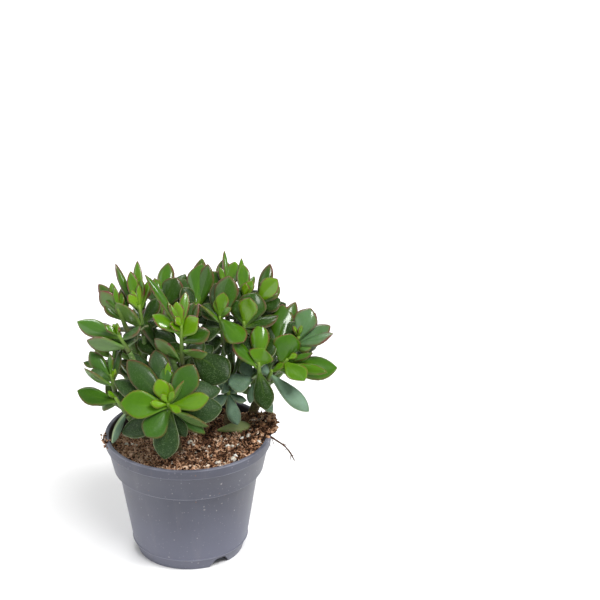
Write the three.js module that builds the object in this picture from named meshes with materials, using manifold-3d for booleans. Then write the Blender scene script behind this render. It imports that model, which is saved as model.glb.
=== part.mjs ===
// A potted jade plant: a round nursery pot with a collar and a notched foot, potting soil,
// five woody stems rooted in it, and leafy shoots on the ends of the stems' branches.
// Millimetres, +Z up, origin at the centre of the pot's foot, on the ground. -Y is the front.
import * as THREE from "three";
import { mergeVertices } from "three/addons/utils/BufferGeometryUtils.js";
import Module from "manifold-3d";

// ---- Driving dimensions ----------------------------------------------------------------
const RIM_RADIUS = 60; // a 12 cm pot
const POT_HEIGHT = 92;
const WALL = 1.3;
const SOIL_BELOW_RIM = 9;
const GAP = 0.35; // between pieces that touch
const LEAF_THICKNESS = 3.4; // of an old leaf, and a new one has YOUNG_SHARE of it
const YOUNG_SHARE = 0.75;
const SHOOT_RADIUS = { foot: 1.9, tip: 1.1 }; // green new growth
const ROUND = 32; // steps round the pot

// ---- The reference view ----------------------------------------------------------------
// The plant grew as it did, so its shoots and leaves are written where they are seen from one
// viewpoint, in a picture 600 pixels wide, with the rim's centre at rimX, rimY. Directions are
// to the right, up and near in that view.
const VIEW = { distance: 1500, elevation: THREE.MathUtils.degToRad(27.65) };
const PICTURE = { centre: 300, focal: 2072, rimX: 188.1, rimY: 431.6 };
const EYE = new THREE.Vector3(
  0,
  -VIEW.distance * Math.cos(VIEW.elevation),
  POT_HEIGHT + VIEW.distance * Math.sin(VIEW.elevation),
);

// The eye's right, up and near, turned so that the rim's centre is seen at rimX, rimY.
function viewAxes() {
  const { centre, focal, rimX, rimY } = PICTURE;
  const seen = new THREE.Vector3(rimX - centre, centre - rimY, focal).normalize();
  const sine = Math.sin(VIEW.elevation) / Math.hypot(seen.y, seen.z);
  const pitch = Math.asin(sine) + Math.atan2(seen.y, seen.z);
  const level = seen.y * Math.sin(pitch) + seen.z * Math.cos(pitch);
  const yaw = -Math.atan2(seen.x, level);
  const right = new THREE.Vector3(Math.cos(yaw), -Math.sin(yaw), 0);
  const near = new THREE.Vector3(
    -Math.sin(yaw) * Math.cos(pitch),
    -Math.cos(yaw) * Math.cos(pitch),
    Math.sin(pitch),
  );
  return { right, up: near.clone().cross(right), near };
}
const AXES = viewAxes();

const rayThrough = (x, y) =>
  AXES.near.clone().negate()
    .addScaledVector(AXES.right, (x - PICTURE.centre) / PICTURE.focal)
    .addScaledVector(AXES.up, (PICTURE.centre - y) / PICTURE.focal);

// The point seen at x, y that lies "back" behind the pot's axis.
function seenAt([x, y, back]) {
  const ray = rayThrough(x, y);
  return EYE.clone().addScaledVector(ray, (back - EYE.y) / ray.y);
}

// The point seen at x, y that is "near" closer to the eye than the point "from".
function seenNear(x, y, from, near) {
  const depth = EYE.clone().sub(from).dot(AXES.near) - near;
  return EYE.clone().addScaledVector(rayThrough(x, y), depth);
}

const viewDirection = ([right, up, near]) =>
  new THREE.Vector3()
    .addScaledVector(AXES.right, right)
    .addScaledVector(AXES.up, up)
    .addScaledVector(AXES.near, near)
    .normalize();

// ---- The plant's growth ----------------------------------------------------------------
// Stems: name, root x, y on the soil, fork x, y, z in millimetres, radius at the root.
const STEMS = [
  ["front", [-8, -10], [-9, -19, 108], 4.2],
  ["left", [-28, 10], [-38, 6, 122], 4.4],
  ["middle", [-4, 16], [-4, 16, 126], 4.8],
  ["right", [28, 20], [34, 16, 124], 4.6],
  ["far_right", [40, 30], [56, 22, 118], 4.2],
];

// Shoots that the view shows: name, stem, growing tip [x, y, back], direction, length, and
// leaves [down from the tip, tip x, tip y, near, width, show, age]. A leaf with a high show
// turns its upper face to the eye, and one with a low show its edge or its back.
const SHOOTS = [
  ["front_rosette", "front", [168, 403, -42], [-0.1, 0.45, 0.88], 15, [
    [1, 161, 394, 5, 5, 0.5, 0], [1, 174, 391, 6, 5, 0.5, 0], [2, 150, 403, 6, 6.5, 0.5, 0],
    [2, 181.5, 413, 7, 6, 0.8, 0], [3, 183, 379.5, 8, 7, -0.9, 0.15], [3, 158, 379, 5, 12, 1, 0.1],
    [5, 120.5, 403, 7, 20, 1, 0.26], [5, 210.5, 398, 8, 13.5, 1, 0.1],
    [8, 193, 364, -1, 19, 1, 0.4], [8, 146, 437, 11, 18, 1, 0.4],
    [10, 127.5, 360, -3, 17, 1, 0.65], [10, 210, 424, 7, 12, -1.2, 0.5],
    [12, 164, 459, 4, 18, 1, 0.9], [13, 114, 381, -5, 14, 1, 0.8], [13, 222, 408, -2, 19, 1, 0.95],
    [14, 121, 433, -2, 15, 1, 0.9], [15, 186, 437, 0, 9, 1, 0.85], [2, 169, 383, 2, 7, 1, 0.05]]],
  ["front_rosette_back", "front", [166, 388, -29], [0.1, 0.8, 0.6], 14, [
    [1, 168, 362, -4, 5, 1, 0.2], [2, 165, 368, -3, 12, 1, 0.5], [4, 155, 350, -6, 15, 1, 0.7],
    [6, 221, 388, -5, 16, 1, 0.85], [7, 131, 351, -12, 13, 1, 0.85], [12, 205, 434, 0, 11, 1, 0.6],
    [10, 141, 360, -12, 12, 1, 0.9], [10, 196, 372, -12, 14, 1, 0.95]]],
  ["upper_middle", "middle", [181, 325, -14], [0, 0.86, 0.5], 33, [
    [1, 175.5, 317, 5, 6.5, 0.8, 0], [1, 168, 302, 0, 4, 0.4, 0], [2, 170.5, 304, 3, 4, 0.4, 0],
    [3, 176.5, 302, -1, 9.5, 1, 0.1], [5, 170, 324, 8, 8, 0.8, 0.1],
    [4, 186, 291.5, -7, 7.5, 1, 0.1], [10, 199, 318, 7, 15, 1, 0.15],
    [7, 153, 314, 3, 13, 0.6, 0.25], [10, 193.5, 302, -6, 11, 1, 0.6],
    [8, 145.5, 274, 4, 7, 0.5, 0.3], [11, 199, 304, -3, 8, 0.2, 0.6],
    [14, 210, 332, 5, 13, 1, 0.55], [12, 164, 308, -5, 9, 1, 0.4],
    [31, 155, 338, 7, 11, -1.6, 0.4], [21, 207, 354, 8, 10, -1.2, 0.3],
    [30, 170, 343, 4, 13, 1, 0.75], [24, 154, 330, -8, 13, 1, 0.85],
    [26, 204, 342, -8, 13, 1, 0.9]]],
  ["middle_left", "middle", [160, 350, -4], [0, 0.86, 0.5], 12, [
    [4, 139.5, 315, 6, 8, 0.3, 0.7], [2, 151, 326, -3, 10, 0.6, 0.8],
    [5, 172, 330, -5, 12, 1, 0.85], [6, 138, 338, -3, 11, 1, 0.85], [3, 161, 330, -2, 7, 1, 0.6]]],
  ["upper_left", "left", [139, 305, 0], [-0.1, 0.86, 0.5], 24, [
    [1, 131.5, 290, -1, 4.5, 1, 0], [1, 138.5, 284, 1, 4.5, 0.8, 0],
    [4, 128, 294.5, 5, 7.5, 1, 0.05], [3, 141.5, 278, -1, 6, -0.3, 0.2],
    [4, 137.5, 261, -8, 7, 0.7, 0.2], [5, 130.5, 271, -1, 8, 0.8, 0.25],
    [4, 134, 274, -3, 5, 0.8, 0.1], [6, 151, 278, -2, 6, 0.8, 0.15],
    [5, 155, 279, -4, 5, 0.5, 0.3], [19, 116.5, 301.5, 10, 15, -0.9, 0.36],
    [9, 115.5, 262.5, -4, 6, 0.9, 0.45], [16, 158, 298, -6, 10, 1, 0.75],
    [18, 144, 326, 4, 7, 0.2, 0.8], [20, 154, 318, -6, 11, 1, 0.85],
    [21, 133, 330, -5, 12, 1, 0.85]]],
  ["upper_left_side", "left", [118, 308, 2], [-0.3, 0.84, 0.45], 20, [
    [2, 111, 282.5, -1, 6, -0.3, 0.2], [2, 114.5, 287, 1, 4.5, 0.6, 0.1],
    [4, 98.5, 284, -2, 9, 0.4, 0.5], [9, 101, 290, 3, 12, -1.2, 0.5],
    [10, 104.5, 303, 2, 9, 0.2, 0.7], [12, 122, 288, -7, 8, 1, 0.6],
    [6, 121, 292, -2, 5, 1, 0.1]]],
  ["left_side", "left", [118, 334, -8], [-0.45, 0.8, 0.4], 16, [
    [1, 117.5, 323, 5, 7, 0.4, 0.1], [2, 104.5, 325.5, 2, 5, 0.3, 0.1],
    [1, 113, 324, -3, 4, 1, 0.1], [4, 77, 321.5, -8, 13.5, 1, 0.3], [5, 140.5, 326, 2, 8, 0.4, 0.7],
    [12, 86.5, 339.5, 7, 13, -1.6, 0.45], [8, 100, 322.5, -9, 8, 1, 0.6],
    [12, 133, 331, -6, 11, 1, 0.8], [12, 104, 336, -4, 6, 0.3, 0.5]]],
  ["left_low", "left", [111, 374, -14], [-0.15, 0.86, 0.48], 14, [
    [1, 110, 354, 0, 5, -0.2, 0.35], [3, 90, 351, 0, 11, 1, 0.45], [4, 116, 369, 5, 4, 0.5, 0.1],
    [6, 91, 370, 5, 10, 0.9, 0.75], [10, 84, 368.5, 10, 9, -0.9, 0.35],
    [7, 119.5, 352, -3, 5.5, 0.2, 0.7]]],
  ["left_lowest", "left", [115, 397, -22], [-0.5, 0.8, 0.3], 16, [
    [1, 108, 391, 3, 4, 0.3, 0.1], [4, 77.5, 391.5, -6, 13, 0.9, 0.5],
    [8, 124, 384, -8, 10, 1, 0.6], [14, 111, 443, 6, 9.5, -1, 0.95]]],
  ["back_left_tall", "middle", [161, 300, 22], [-0.05, 0.86, 0.48], 20, [
    [1, 158, 279, -8, 7, 1, 0.3], [2, 168, 261.5, -10, 12.5, 0.8, 0.4],
    [3, 154.5, 278, -4, 7, 0.6, 0.4], [8, 176, 277.5, 3, 17, 1, 0.65],
    [5, 147, 284, -6, 10, 1, 0.6], [7, 185, 273, -12, 13, 1, 0.75], [12, 147, 306, 3, 14, 1, 0.85],
    [12, 180, 300, 2, 15, 1, 0.85], [14, 163, 304, 4, 14, 1, 0.9]]],
  ["top_left", "middle", [196, 304, 20], [0, 0.88, 0.47], 20, [
    [1, 194, 284, -6, 9, 1, 0.6], [2, 202, 263.5, -9, 18.5, 0.7, 0.3],
    [3, 178, 278, -6, 15, 1, 0.75], [3, 202, 258, -17, 12, 1, 0.5], [5, 182, 288, 3, 12, 0.6, 0.8],
    [5, 208, 264, -3, 13, 1, 0.6], [10, 212, 296, 0, 15, 1, 0.8], [13, 186, 305, 2, 16, 1, 0.9],
    [15, 204, 314, 2, 15, 1, 0.9]]],
  ["top_middle", "right", [227, 290, 34], [0, 0.88, 0.47], 24, [
    [1, 219.5, 267, -2, 6, 1, 0.1], [1, 226.4, 250, -5, 4, -0.6, 0.3],
    [3, 223, 259.5, -9, 13, 0.7, 0.34], [3, 235, 261.5, -6, 12, 1, 0.2],
    [5, 211, 272, -5, 13, 1, 0.6],
    [10, 210, 294, 2, 15, 1, 0.85], [10, 242, 288, -8, 14, 1, 0.85],
    [14, 226, 296, 4, 14, 1, 0.9]]],
  ["top_right", "right", [244, 295, 22], [0, 0.88, 0.47], 20, [
    [1, 247, 280, -6, 5, 1, 0], [2, 242.5, 264, -8, 10, 1, 0.25],
    [2, 241.5, 258, -16, 5, 0.2, 0.3], [2, 245.5, 283, 3, 7, 1, 0.1],
    [3, 252.5, 280.5, -1, 8, 1, 0.1], [3, 254.3, 275.5, -12, 6, 0.2, 0.4],
    [9, 232, 292, 3, 13, 1, 0.8], [9, 258, 290, -6, 13, 1, 0.8], [13, 246, 300, 0, 14, 1, 0.85]]],
  ["middle_high", "middle", [220, 316, 8], [-0.1, 0.88, 0.46], 24, [
    [1, 224.3, 292, 2, 10, 1, 0.12], [1, 215.5, 300, -3, 6, 1, 0.1],
    [4, 215.5, 283, -5, 10.5, 0.2, 0.75], [2, 229, 276, 3, 18, 1, 0.62],
    [2, 232, 308, 5, 6.5, 1, 0.2], [5, 203, 304, -2, 13, 1, 0.75],
    [2, 244, 342, 14, 17, 0.9, 0.35], [6, 197, 304, 2, 9, -0.6, 0.45],
    [10, 198, 333, -3, 15, 1, 0.85], [12, 241, 326, -10, 15, 1, 0.9],
    [14, 210, 318, -6, 15, 1, 0.9], [20, 234, 350, -6, 13, 1, 0.95],
    [20, 208, 342, -4, 13, 1, 0.95]]],
  ["right_high", "right", [244, 321, 4], [0, 0.88, 0.46], 18, [
    [1, 248, 306, -4, 5, 1, 0], [4, 250.5, 297, 12, 14.5, 1, 0.08],
    [4, 256, 292.5, -2, 20, 0.8, 0.7], [3, 236, 300, -4, 12, 1, 0.75],
    [5, 278.5, 316.5, -3, 11, 0.8, 0.7], [9, 226, 334, -4, 13, 1, 0.9],
    [8, 270, 332, -4, 14, 1, 0.9], [11, 244, 318, -6, 17, 1, 0.9], [13, 240, 338, -8, 14, 1, 0.95],
    [13, 262, 318, -10, 16, 1, 0.9]]],
  ["right_back_high", "right", [257, 302, 22], [0.1, 0.86, 0.48], 18, [
    [1, 264, 285, -4, 6, 1, 0.1], [1, 278, 279, 4, 14, 1, 0.15], [2, 270, 263.5, -6, 10, 0.8, 0.5],
    [3, 279.5, 286, -6, 12, 1, 0.4], [6, 280, 299, 1, 15, 1, 0.75], [9, 258, 292, -6, 14, 1, 0.85],
    [10, 286, 304, -7, 13, 1, 0.85], [11, 270, 304, 2, 15, 1, 0.9]]],
  ["right_glossy", "far_right", [280, 342, 2], [0.35, 0.82, 0.45], 16, [
    [2, 286, 328, -8, 6, 1, 0.3], [5, 283, 303.5, -10, 18, 0.6, 0.42],
    [2, 296, 301, -14, 11, 1, 0.5], [4, 266, 316, -10, 15, 1, 0.85], [5, 298, 322, -6, 14, 1, 0.85],
    [9, 268, 338, -8, 14, 1, 0.9], [9, 298, 340, -8, 13, 1, 0.9]]],
  ["right_pale", "far_right", [299, 336, 6], [0.35, 0.82, 0.44], 20, [
    [1, 292.5, 326, 4, 3.5, 0.5, 0], [1, 301, 324.5, 5, 4, 0.5, 0], [5, 311, 308, -2, 17, 1, 0.4],
    [6, 315, 313, -9, 12, 1, 0.6], [8, 330.5, 326, -3, 13, 1, 0.55],
    [9, 333, 333.5, 12, 12, 0.5, 0.45], [11, 311.5, 347.5, 9, 8, 0.8, 0.3],
    [14, 318, 338, -8, 12, 1, 0.8], [14, 312, 352, -4, 8, 1, 0.7]]],
  ["right_low", "far_right", [288, 359, -6], [0.6, 0.6, 0.5], 17, [
    [1, 297, 354, 2, 5, 1, 0.1], [8, 291, 333.5, 4, 21, 0.6, 0.3],
    [4, 304.5, 381.5, 14, 16, 2, 0.25], [6, 313, 353, 2, 5, 0.2, 0.5],
    [11, 338, 366, -6, 19, 0.8, 0.45], [9, 327, 371.5, 9, 8, 1.5, 0.35],
    [12, 308, 374, -6, 12, 1, 0.85]]],
  ["centre_right", "right", [259, 362, -12], [0, 0.86, 0.5], 14, [
    [1, 260.5, 323, -3, 14, 1, 0.3], [3, 264, 348.5, 4, 19, 1.5, 0.15],
    [6, 233, 340, 6, 12, 0.4, 0.3], [3, 243, 336, -8, 11, 1, 0.9],
    [8, 267.5, 409, 6, 14.5, 1, 0.78], [5, 272, 338, -8, 12, 1, 0.9],
    [11, 254, 374, -6, 9, 1, 0.85]]],
  ["hanging_right", "far_right", [272, 370, -6], [0.3, 0.8, 0.5], 9, [
    [2, 284, 363, 3, 5, 1, 0.2], [4, 310, 410, 4, 14, 0.9, 0.9], [6, 256, 358, -9, 10, 1, 0.9]]],
  ["hanging_middle", "right", [254, 376, -5], [0.1, 0.86, 0.5], 8, [
    [1, 228, 384, 5, 17, 1, 0.9], [4, 272, 412.5, -3, 10, 1, 0.9], [5, 250, 403.5, 0, 6, 0.4, 0.8],
    [3, 242, 362, -2, 10, 1, 0.9], [5, 262, 366, -6, 10, 1, 0.85]]],
  ["big_round_leaf", "middle", [192, 350, -4], [0, 0.86, 0.5], 10, [
    [2, 228, 380, 8, 24, 1, 0.9], [4, 178, 352, -3, 12, 1, 0.8], [5, 213, 346, -6, 13, 1, 0.9]]],
  ["low_grey_leaves", "right", [229, 390, -2], [0.1, 0.86, 0.5], 9, [
    [1, 223, 386, 3, 10, 1, 0.95], [3, 238, 425, 3, 10, 1, 0.95], [4, 247, 400, 0, 7, 0.3, 0.85],
    [4, 213, 405, 0, 10, 1, 0.9], [5, 245, 377, -5, 11, 1, 0.9], [6, 222, 372, -6, 12, 1, 0.95]]],
];

// Shoots that the view hides: name, stem, growing tip [x, y, z], direction, length, pairs of
// leaves, length of the oldest, turn of the first pair in degrees.
const HIDDEN_SHOOTS = [
  ["back_left_high", "left", [-30, 40, 172], [-0.25, 0.35, 1], 22, 4, 27, 20],
  ["back_middle_high", "middle", [4, 52, 176], [0, 0.35, 1], 24, 4, 28, 60],
  ["back_right_high", "right", [40, 56, 172], [0.2, 0.4, 1], 24, 4, 27, 10],
  ["back_left_side", "left", [-58, 24, 146], [-0.7, 0.3, 0.8], 18, 4, 27, 75],
  ["back_right_side", "far_right", [78, 34, 148], [0.6, 0.4, 0.9], 20, 4, 26, 35],
  ["back_left_low", "left", [-40, 50, 128], [-0.5, 0.7, 0.7], 18, 4, 27, 50],
  ["back_middle_low", "middle", [2, 68, 134], [0.1, 0.9, 0.6], 18, 4, 28, 15],
  ["back_right_low", "right", [44, 66, 128], [0.4, 0.9, 0.5], 18, 4, 27, 80],
  ["back_left_foot", "left", [-58, 18, 112], [-0.8, 0.4, 0.4], 14, 3, 24, 10],
  ["inner_middle", "middle", [14, 40, 140], [0.3, 0.6, 1], 18, 3, 26, 40],
  ["right_side_low", "far_right", [74, 44, 126], [0.7, 0.5, 0.6], 16, 3, 24, 20],
  ["inner_front_left", "left", [-38, 10, 138], [-0.1, 0.2, 1], 16, 3, 26, 30],
  ["inner_centre_low", "middle", [-10, 28, 138], [-0.1, 0.3, 1], 16, 3, 27, 50],
  ["inner_centre_high", "middle", [6, 36, 156], [0.1, 0.3, 1], 18, 3, 27, 10],
  ["inner_upper_left", "left", [-34, 26, 150], [-0.1, 0.3, 1], 18, 3, 26, 45],
  ["inner_upper_right", "right", [46, 38, 154], [0.1, 0.3, 1], 18, 3, 27, 25],
  ["inner_front_right", "right", [28, 8, 134], [0, 0.2, 1], 14, 3, 25, 65],
  ["inner_far_right", "far_right", [62, 18, 136], [0.2, 0.2, 1], 16, 3, 25, 5],
];

// ---- Solids ----------------------------------------------------------------------------
const wasm = await Module();
wasm.setup();

function solidOf(geometry) {
  const bare = geometry.clone();
  bare.deleteAttribute("normal");
  bare.deleteAttribute("uv");
  const merged = mergeVertices(bare, 1e-4);
  const vertProperties = new Float32Array(merged.attributes.position.array);
  const triVerts = new Uint32Array(merged.index.array);
  const made = () => new wasm.Manifold(new wasm.Mesh({ numProp: 3, vertProperties, triVerts }));
  const solid = made();
  if (solid.volume() > 0) return solid;
  triVerts.reverse();
  return made();
}

function geometryOf(solid) {
  const mesh = solid.getMesh();
  return new THREE.BufferGeometry()
    .setAttribute("position", new THREE.BufferAttribute(mesh.vertProperties.slice(), 3))
    .setIndex(new THREE.BufferAttribute(mesh.triVerts.slice(), 1));
}

const unite = (solids) => solids.reduce((all, one) => all.add(one));
const largestPiece = (solid) =>
  solid.decompose().reduce((most, one) => (one.volume() > most.volume() ? one : most));

// ---- Pot -------------------------------------------------------------------------------
const FOOT_RADIUS = 38.5;
const FLOOR_HEIGHT = 9; // of the ring with the drain holes, and a bead runs round outside
const SKIRT_RADIUS = 41.0;
const BEAD = 0.9;
const WALL_FOOT_RADIUS = 42.0;
const WALL_TOP_RADIUS = 50.8;
const COLLAR = { foot: 65.4, footRadius: 54.2, top: 84, topRadius: 58.2 };
const LIP_ROUND = 0.9;
const LIP_DEPTH = 2.6;
const CENTRE_PLATE = { radius: 14, rise: 3.5 }; // the floor's middle stands on the ground
const NOTCHES = { count: 3, first: -58, width: 17, height: 6.6, reach: 12, slope: 4.5 };
const DRAIN_HOLES = { count: 6, first: 15, radius: 3.5, ring: 27, depth: 6, sides: 8 };
const DEGREE = Math.PI / 180;

// Radius and height: up the outside, over the lip, down the inside and back underneath.
// "grow" swells it.
function potProfile(grow = 0) {
  const inside = (radius) => radius - WALL - grow;
  const { foot, footRadius, top, topRadius } = COLLAR;
  const plate = CENTRE_PLATE.radius;
  const floorTop = FLOOR_HEIGHT + WALL + grow;
  return [
    [FOOT_RADIUS + grow, -grow],
    [SKIRT_RADIUS + grow, FLOOR_HEIGHT - BEAD],
    [SKIRT_RADIUS + BEAD + grow, FLOOR_HEIGHT],
    [WALL_FOOT_RADIUS + grow, FLOOR_HEIGHT + BEAD],
    [WALL_TOP_RADIUS + grow, foot - BEAD / 2 - grow],
    [footRadius + grow, foot - grow],
    [topRadius + grow, top - grow],
    [RIM_RADIUS - LIP_ROUND + grow, top + WALL - grow],
    [RIM_RADIUS + grow, POT_HEIGHT - LIP_DEPTH],
    [RIM_RADIUS + grow, POT_HEIGHT - LIP_ROUND],
    [RIM_RADIUS - LIP_ROUND + grow, POT_HEIGHT + grow],
    [RIM_RADIUS - LIP_DEPTH - grow, POT_HEIGHT + grow],
    [inside(topRadius), top],
    [inside(footRadius), foot + WALL],
    [inside(WALL_TOP_RADIUS), foot],
    [inside(WALL_FOOT_RADIUS), floorTop + WALL],
    [inside(WALL_FOOT_RADIUS) - WALL, floorTop],
    [plate + CENTRE_PLATE.rise - WALL, floorTop],
    [plate - WALL, WALL + grow],
    [0, WALL + grow],
    [0, -grow],
    [plate + grow, -grow],
    [plate + CENTRE_PLATE.rise + grow, FLOOR_HEIGHT - grow],
    [inside(SKIRT_RADIUS), FLOOR_HEIGHT - grow],
    [inside(FOOT_RADIUS), -grow],
    [FOOT_RADIUS + grow, -grow],
  ].map(([radius, height]) => new THREE.Vector2(radius, height));
}

// A lathe turns round Y, so it is stood up to turn round Z.
const turned = (profile, steps) =>
  solidOf(new THREE.LatheGeometry(profile, steps).rotateX(Math.PI / 2));

// An arch in the skirt that lets water out.
function notchCutter(angle) {
  const { width, height, reach, slope } = NOTCHES;
  const outline = new THREE.Shape()
    .moveTo(-width / 2, -1)
    .lineTo(width / 2, -1)
    .lineTo(width / 2 - slope, height - 1)
    .quadraticCurveTo(0, height + 1, slope - width / 2, height - 1);
  const cutter = new THREE.ExtrudeGeometry(outline, {
    depth: reach, bevelEnabled: false, curveSegments: 3,
  });
  cutter.rotateX(Math.PI / 2).translate(0, FOOT_RADIUS + reach / 2, 0);
  return solidOf(cutter.rotateZ(angle - Math.PI / 2));
}

function drainHole(angle) {
  const { radius, ring, depth, sides } = DRAIN_HOLES;
  const hole = new THREE.CylinderGeometry(radius, radius, depth, sides).rotateX(Math.PI / 2);
  hole.translate(ring * Math.cos(angle), ring * Math.sin(angle), FLOOR_HEIGHT + WALL / 2);
  return solidOf(hole);
}

const spread = ({ count, first }, make) =>
  Array.from({ length: count }, (_, i) => make((first + (360 / count) * i) * DEGREE));

const pot = () =>
  turned(potProfile(), ROUND).subtract(
    unite([...spread(NOTCHES, notchCutter), ...spread(DRAIN_HOLES, drainHole)]),
  );

// ---- Soil ------------------------------------------------------------------------------
// The surface is heaped over the rim at the right and has sunk a little at the back left.
const HEAP = { x: 58, y: 6, rise: 14.5, spread: 28 };
const SUNK = { x: -38, y: 36, rise: -7, spread: 18 };
const SOIL_RINGS = 4;
const SPILL = 3.5; // how far the heap reaches past the rim

function soilHeight(x, y) {
  const bump = ({ x: cx, y: cy, rise, spread: wide }) =>
    rise * Math.exp(-((x - cx) ** 2 + (y - cy) ** 2) / wide ** 2);
  return POT_HEIGHT - SOIL_BELOW_RIM + bump(HEAP) + bump(SUNK);
}

const HALVINGS = 20;

// The point of the surface that the view shows at x, y.
function soilSeenAt(x, y) {
  let [front, behind] = [-RIM_RADIUS, RIM_RADIUS];
  for (let halving = 0; halving < HALVINGS; halving++) {
    const middle = (front + behind) / 2;
    const point = seenAt([x, y, middle]);
    if (point.z > soilHeight(point.x, point.y)) front = middle;
    else behind = middle;
  }
  return seenAt([x, y, front]);
}

function soil() {
  const edge = RIM_RADIUS + SPILL;
  const surface = Array.from({ length: SOIL_RINGS + 1 }, (_, i) =>
    new THREE.Vector2((edge * (SOIL_RINGS - i)) / SOIL_RINGS, POT_HEIGHT));
  const below = [new THREE.Vector2(0, WALL + GAP), new THREE.Vector2(FOOT_RADIUS, WALL + GAP)];
  const block = new THREE.LatheGeometry(
    [...below, new THREE.Vector2(edge, COLLAR.foot), ...surface], ROUND,
  ).rotateX(Math.PI / 2);
  const at = block.attributes.position;
  for (let i = 0; i < at.count; i++)
    if (at.getZ(i) > COLLAR.foot + 1) at.setZ(i, soilHeight(at.getX(i), at.getY(i)));
  const potFilled = turned(potProfile(GAP), ROUND);
  return largestPiece(solidOf(block).subtract(potFilled).subtract(roundTheOutside(edge)));
}

// A ring round the pot's outside, which keeps the soil that spills over above the rim.
function roundTheOutside(edge) {
  const [low, high] = [-WALL, POT_HEIGHT + GAP];
  const [narrow, wide] = [RIM_RADIUS - LIP_ROUND, edge + RIM_RADIUS];
  const corners = [[narrow, low], [wide, low], [wide, high], [narrow, high], [narrow, low]];
  return turned(corners.map(([radius, height]) => new THREE.Vector2(radius, height)), ROUND);
}

// ---- Leaves ----------------------------------------------------------------------------
const LEAF_SIDES = 4;
const LEAF_STEPS = 4;
const PETIOLE = 0.16; // half width at the base, as a share of the leaf's
const CUP = 0.16; // how far the margins rise, as a share of the half width
const BOW = 0.05; // how far the middle sinks, as a share of the length

const WIDEST = 1.6; // over 1, it puts the widest place towards the tip
const THICKEST = 0.75; // under 1, it puts the thickest place towards the base
const BLUNT = { outline: 0.8, section: 0.6 }; // the lower, the blunter the ends

// An obovate outline, widest at two thirds of its length: 0 at the base to 1 at the tip.
const outlineAt = (s) =>
  Math.sin(Math.PI * s ** WIDEST) ** BLUNT.outline + PETIOLE * (1 - s) ** 2;
const thicknessAt = (s) => Math.sin(Math.PI * s ** THICKEST) ** BLUNT.section;

function leafSolid({ base, tip, width, facing, age }, grow = 0) {
  const along = tip.clone().sub(base);
  const length = along.length() + grow;
  along.normalize();
  const across = along.clone().cross(facing);
  const half = width / 2;
  const thick = (LEAF_THICKNESS * (YOUNG_SHARE + (1 - YOUNG_SHARE) * age)) / 2;
  const shape = new THREE.SphereGeometry(1, LEAF_SIDES, LEAF_STEPS);
  const at = shape.attributes.position;
  for (let i = 0; i < at.count; i++) {
    const s = (1 - at.getY(i)) / 2;
    const reach = Math.hypot(at.getX(i), at.getZ(i));
    const side = reach > 1e-6 ? at.getX(i) / reach : 0;
    const face = reach > 1e-6 ? at.getZ(i) / reach : 0;
    const wide = reach > 1e-6 ? half * outlineAt(s) + grow : 0;
    const deep = reach > 1e-6 ? thick * thicknessAt(s) + grow : 0;
    const lift = CUP * wide * side ** 2 - BOW * length * 4 * s * (1 - s);
    const point = base.clone()
      .addScaledVector(along, s * length)
      .addScaledVector(across, wide * side)
      .addScaledVector(facing, deep * face + lift);
    at.setXYZ(i, point.x, point.y, point.z);
  }
  return solidOf(shape);
}

// The upper face looks the way that the shoot grows, and "show" turns it to or from the eye.
function facingOf(base, tip, axis, show) {
  const along = tip.clone().sub(base).normalize();
  const facing = axis.clone().addScaledVector(AXES.near, show);
  return facing.addScaledVector(along, -facing.dot(along)).normalize();
}

// ---- Stems and shoots ------------------------------------------------------------------
// A tapered round branch along a curve.
function branchSolid(curve, radiusFrom, radiusTo, sides, steps) {
  const shape = new THREE.CylinderGeometry(1, 1, 1, sides, steps);
  const frames = curve.computeFrenetFrames(steps);
  const at = shape.attributes.position;
  for (let i = 0; i < at.count; i++) {
    const t = 0.5 - at.getY(i);
    const step = Math.round(t * steps);
    const radius = THREE.MathUtils.lerp(radiusFrom, radiusTo, t);
    const point = curve.getPointAt(t)
      .addScaledVector(frames.normals[step], at.getX(i) * radius)
      .addScaledVector(frames.binormals[step], at.getZ(i) * radius);
    at.setXYZ(i, point.x, point.y, point.z);
  }
  return solidOf(shape);
}

const AXIS = { sides: 5, steps: 1 };
const axisSolid = ({ foot, tip }, grow = 0) =>
  branchSolid(new THREE.LineCurve3(foot, tip), SHOOT_RADIUS.foot + grow,
    SHOOT_RADIUS.tip + grow, AXIS.sides, AXIS.steps);

function seenShoot([name, stem, at, direction, length, rows]) {
  const tip = seenAt(at);
  const axis = viewDirection(direction);
  const foot = tip.clone().addScaledVector(axis, -length);
  const leaves = rows.map(([down, x, y, near, width, show, age]) => {
    const base = tip.clone().addScaledVector(axis, -down);
    const end = seenNear(x, y, base, near);
    return { base, tip: end, width, age, facing: facingOf(base, end, axis, show) };
  });
  return { name, stem, tip, foot, axis, leaves };
}

const OPEN = { first: 16, step: 19 }; // how far each older pair leans out, in degrees
const GROWN = { first: 0.34, step: 0.24 }; // each older pair's length, as a share of the oldest
const BUD = 1.5; // from the growing tip down to its first pair
const BARE = 4; // of the axis, below its last pair
const SLENDER = 0.52; // a leaf's width as a share of its length

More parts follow.
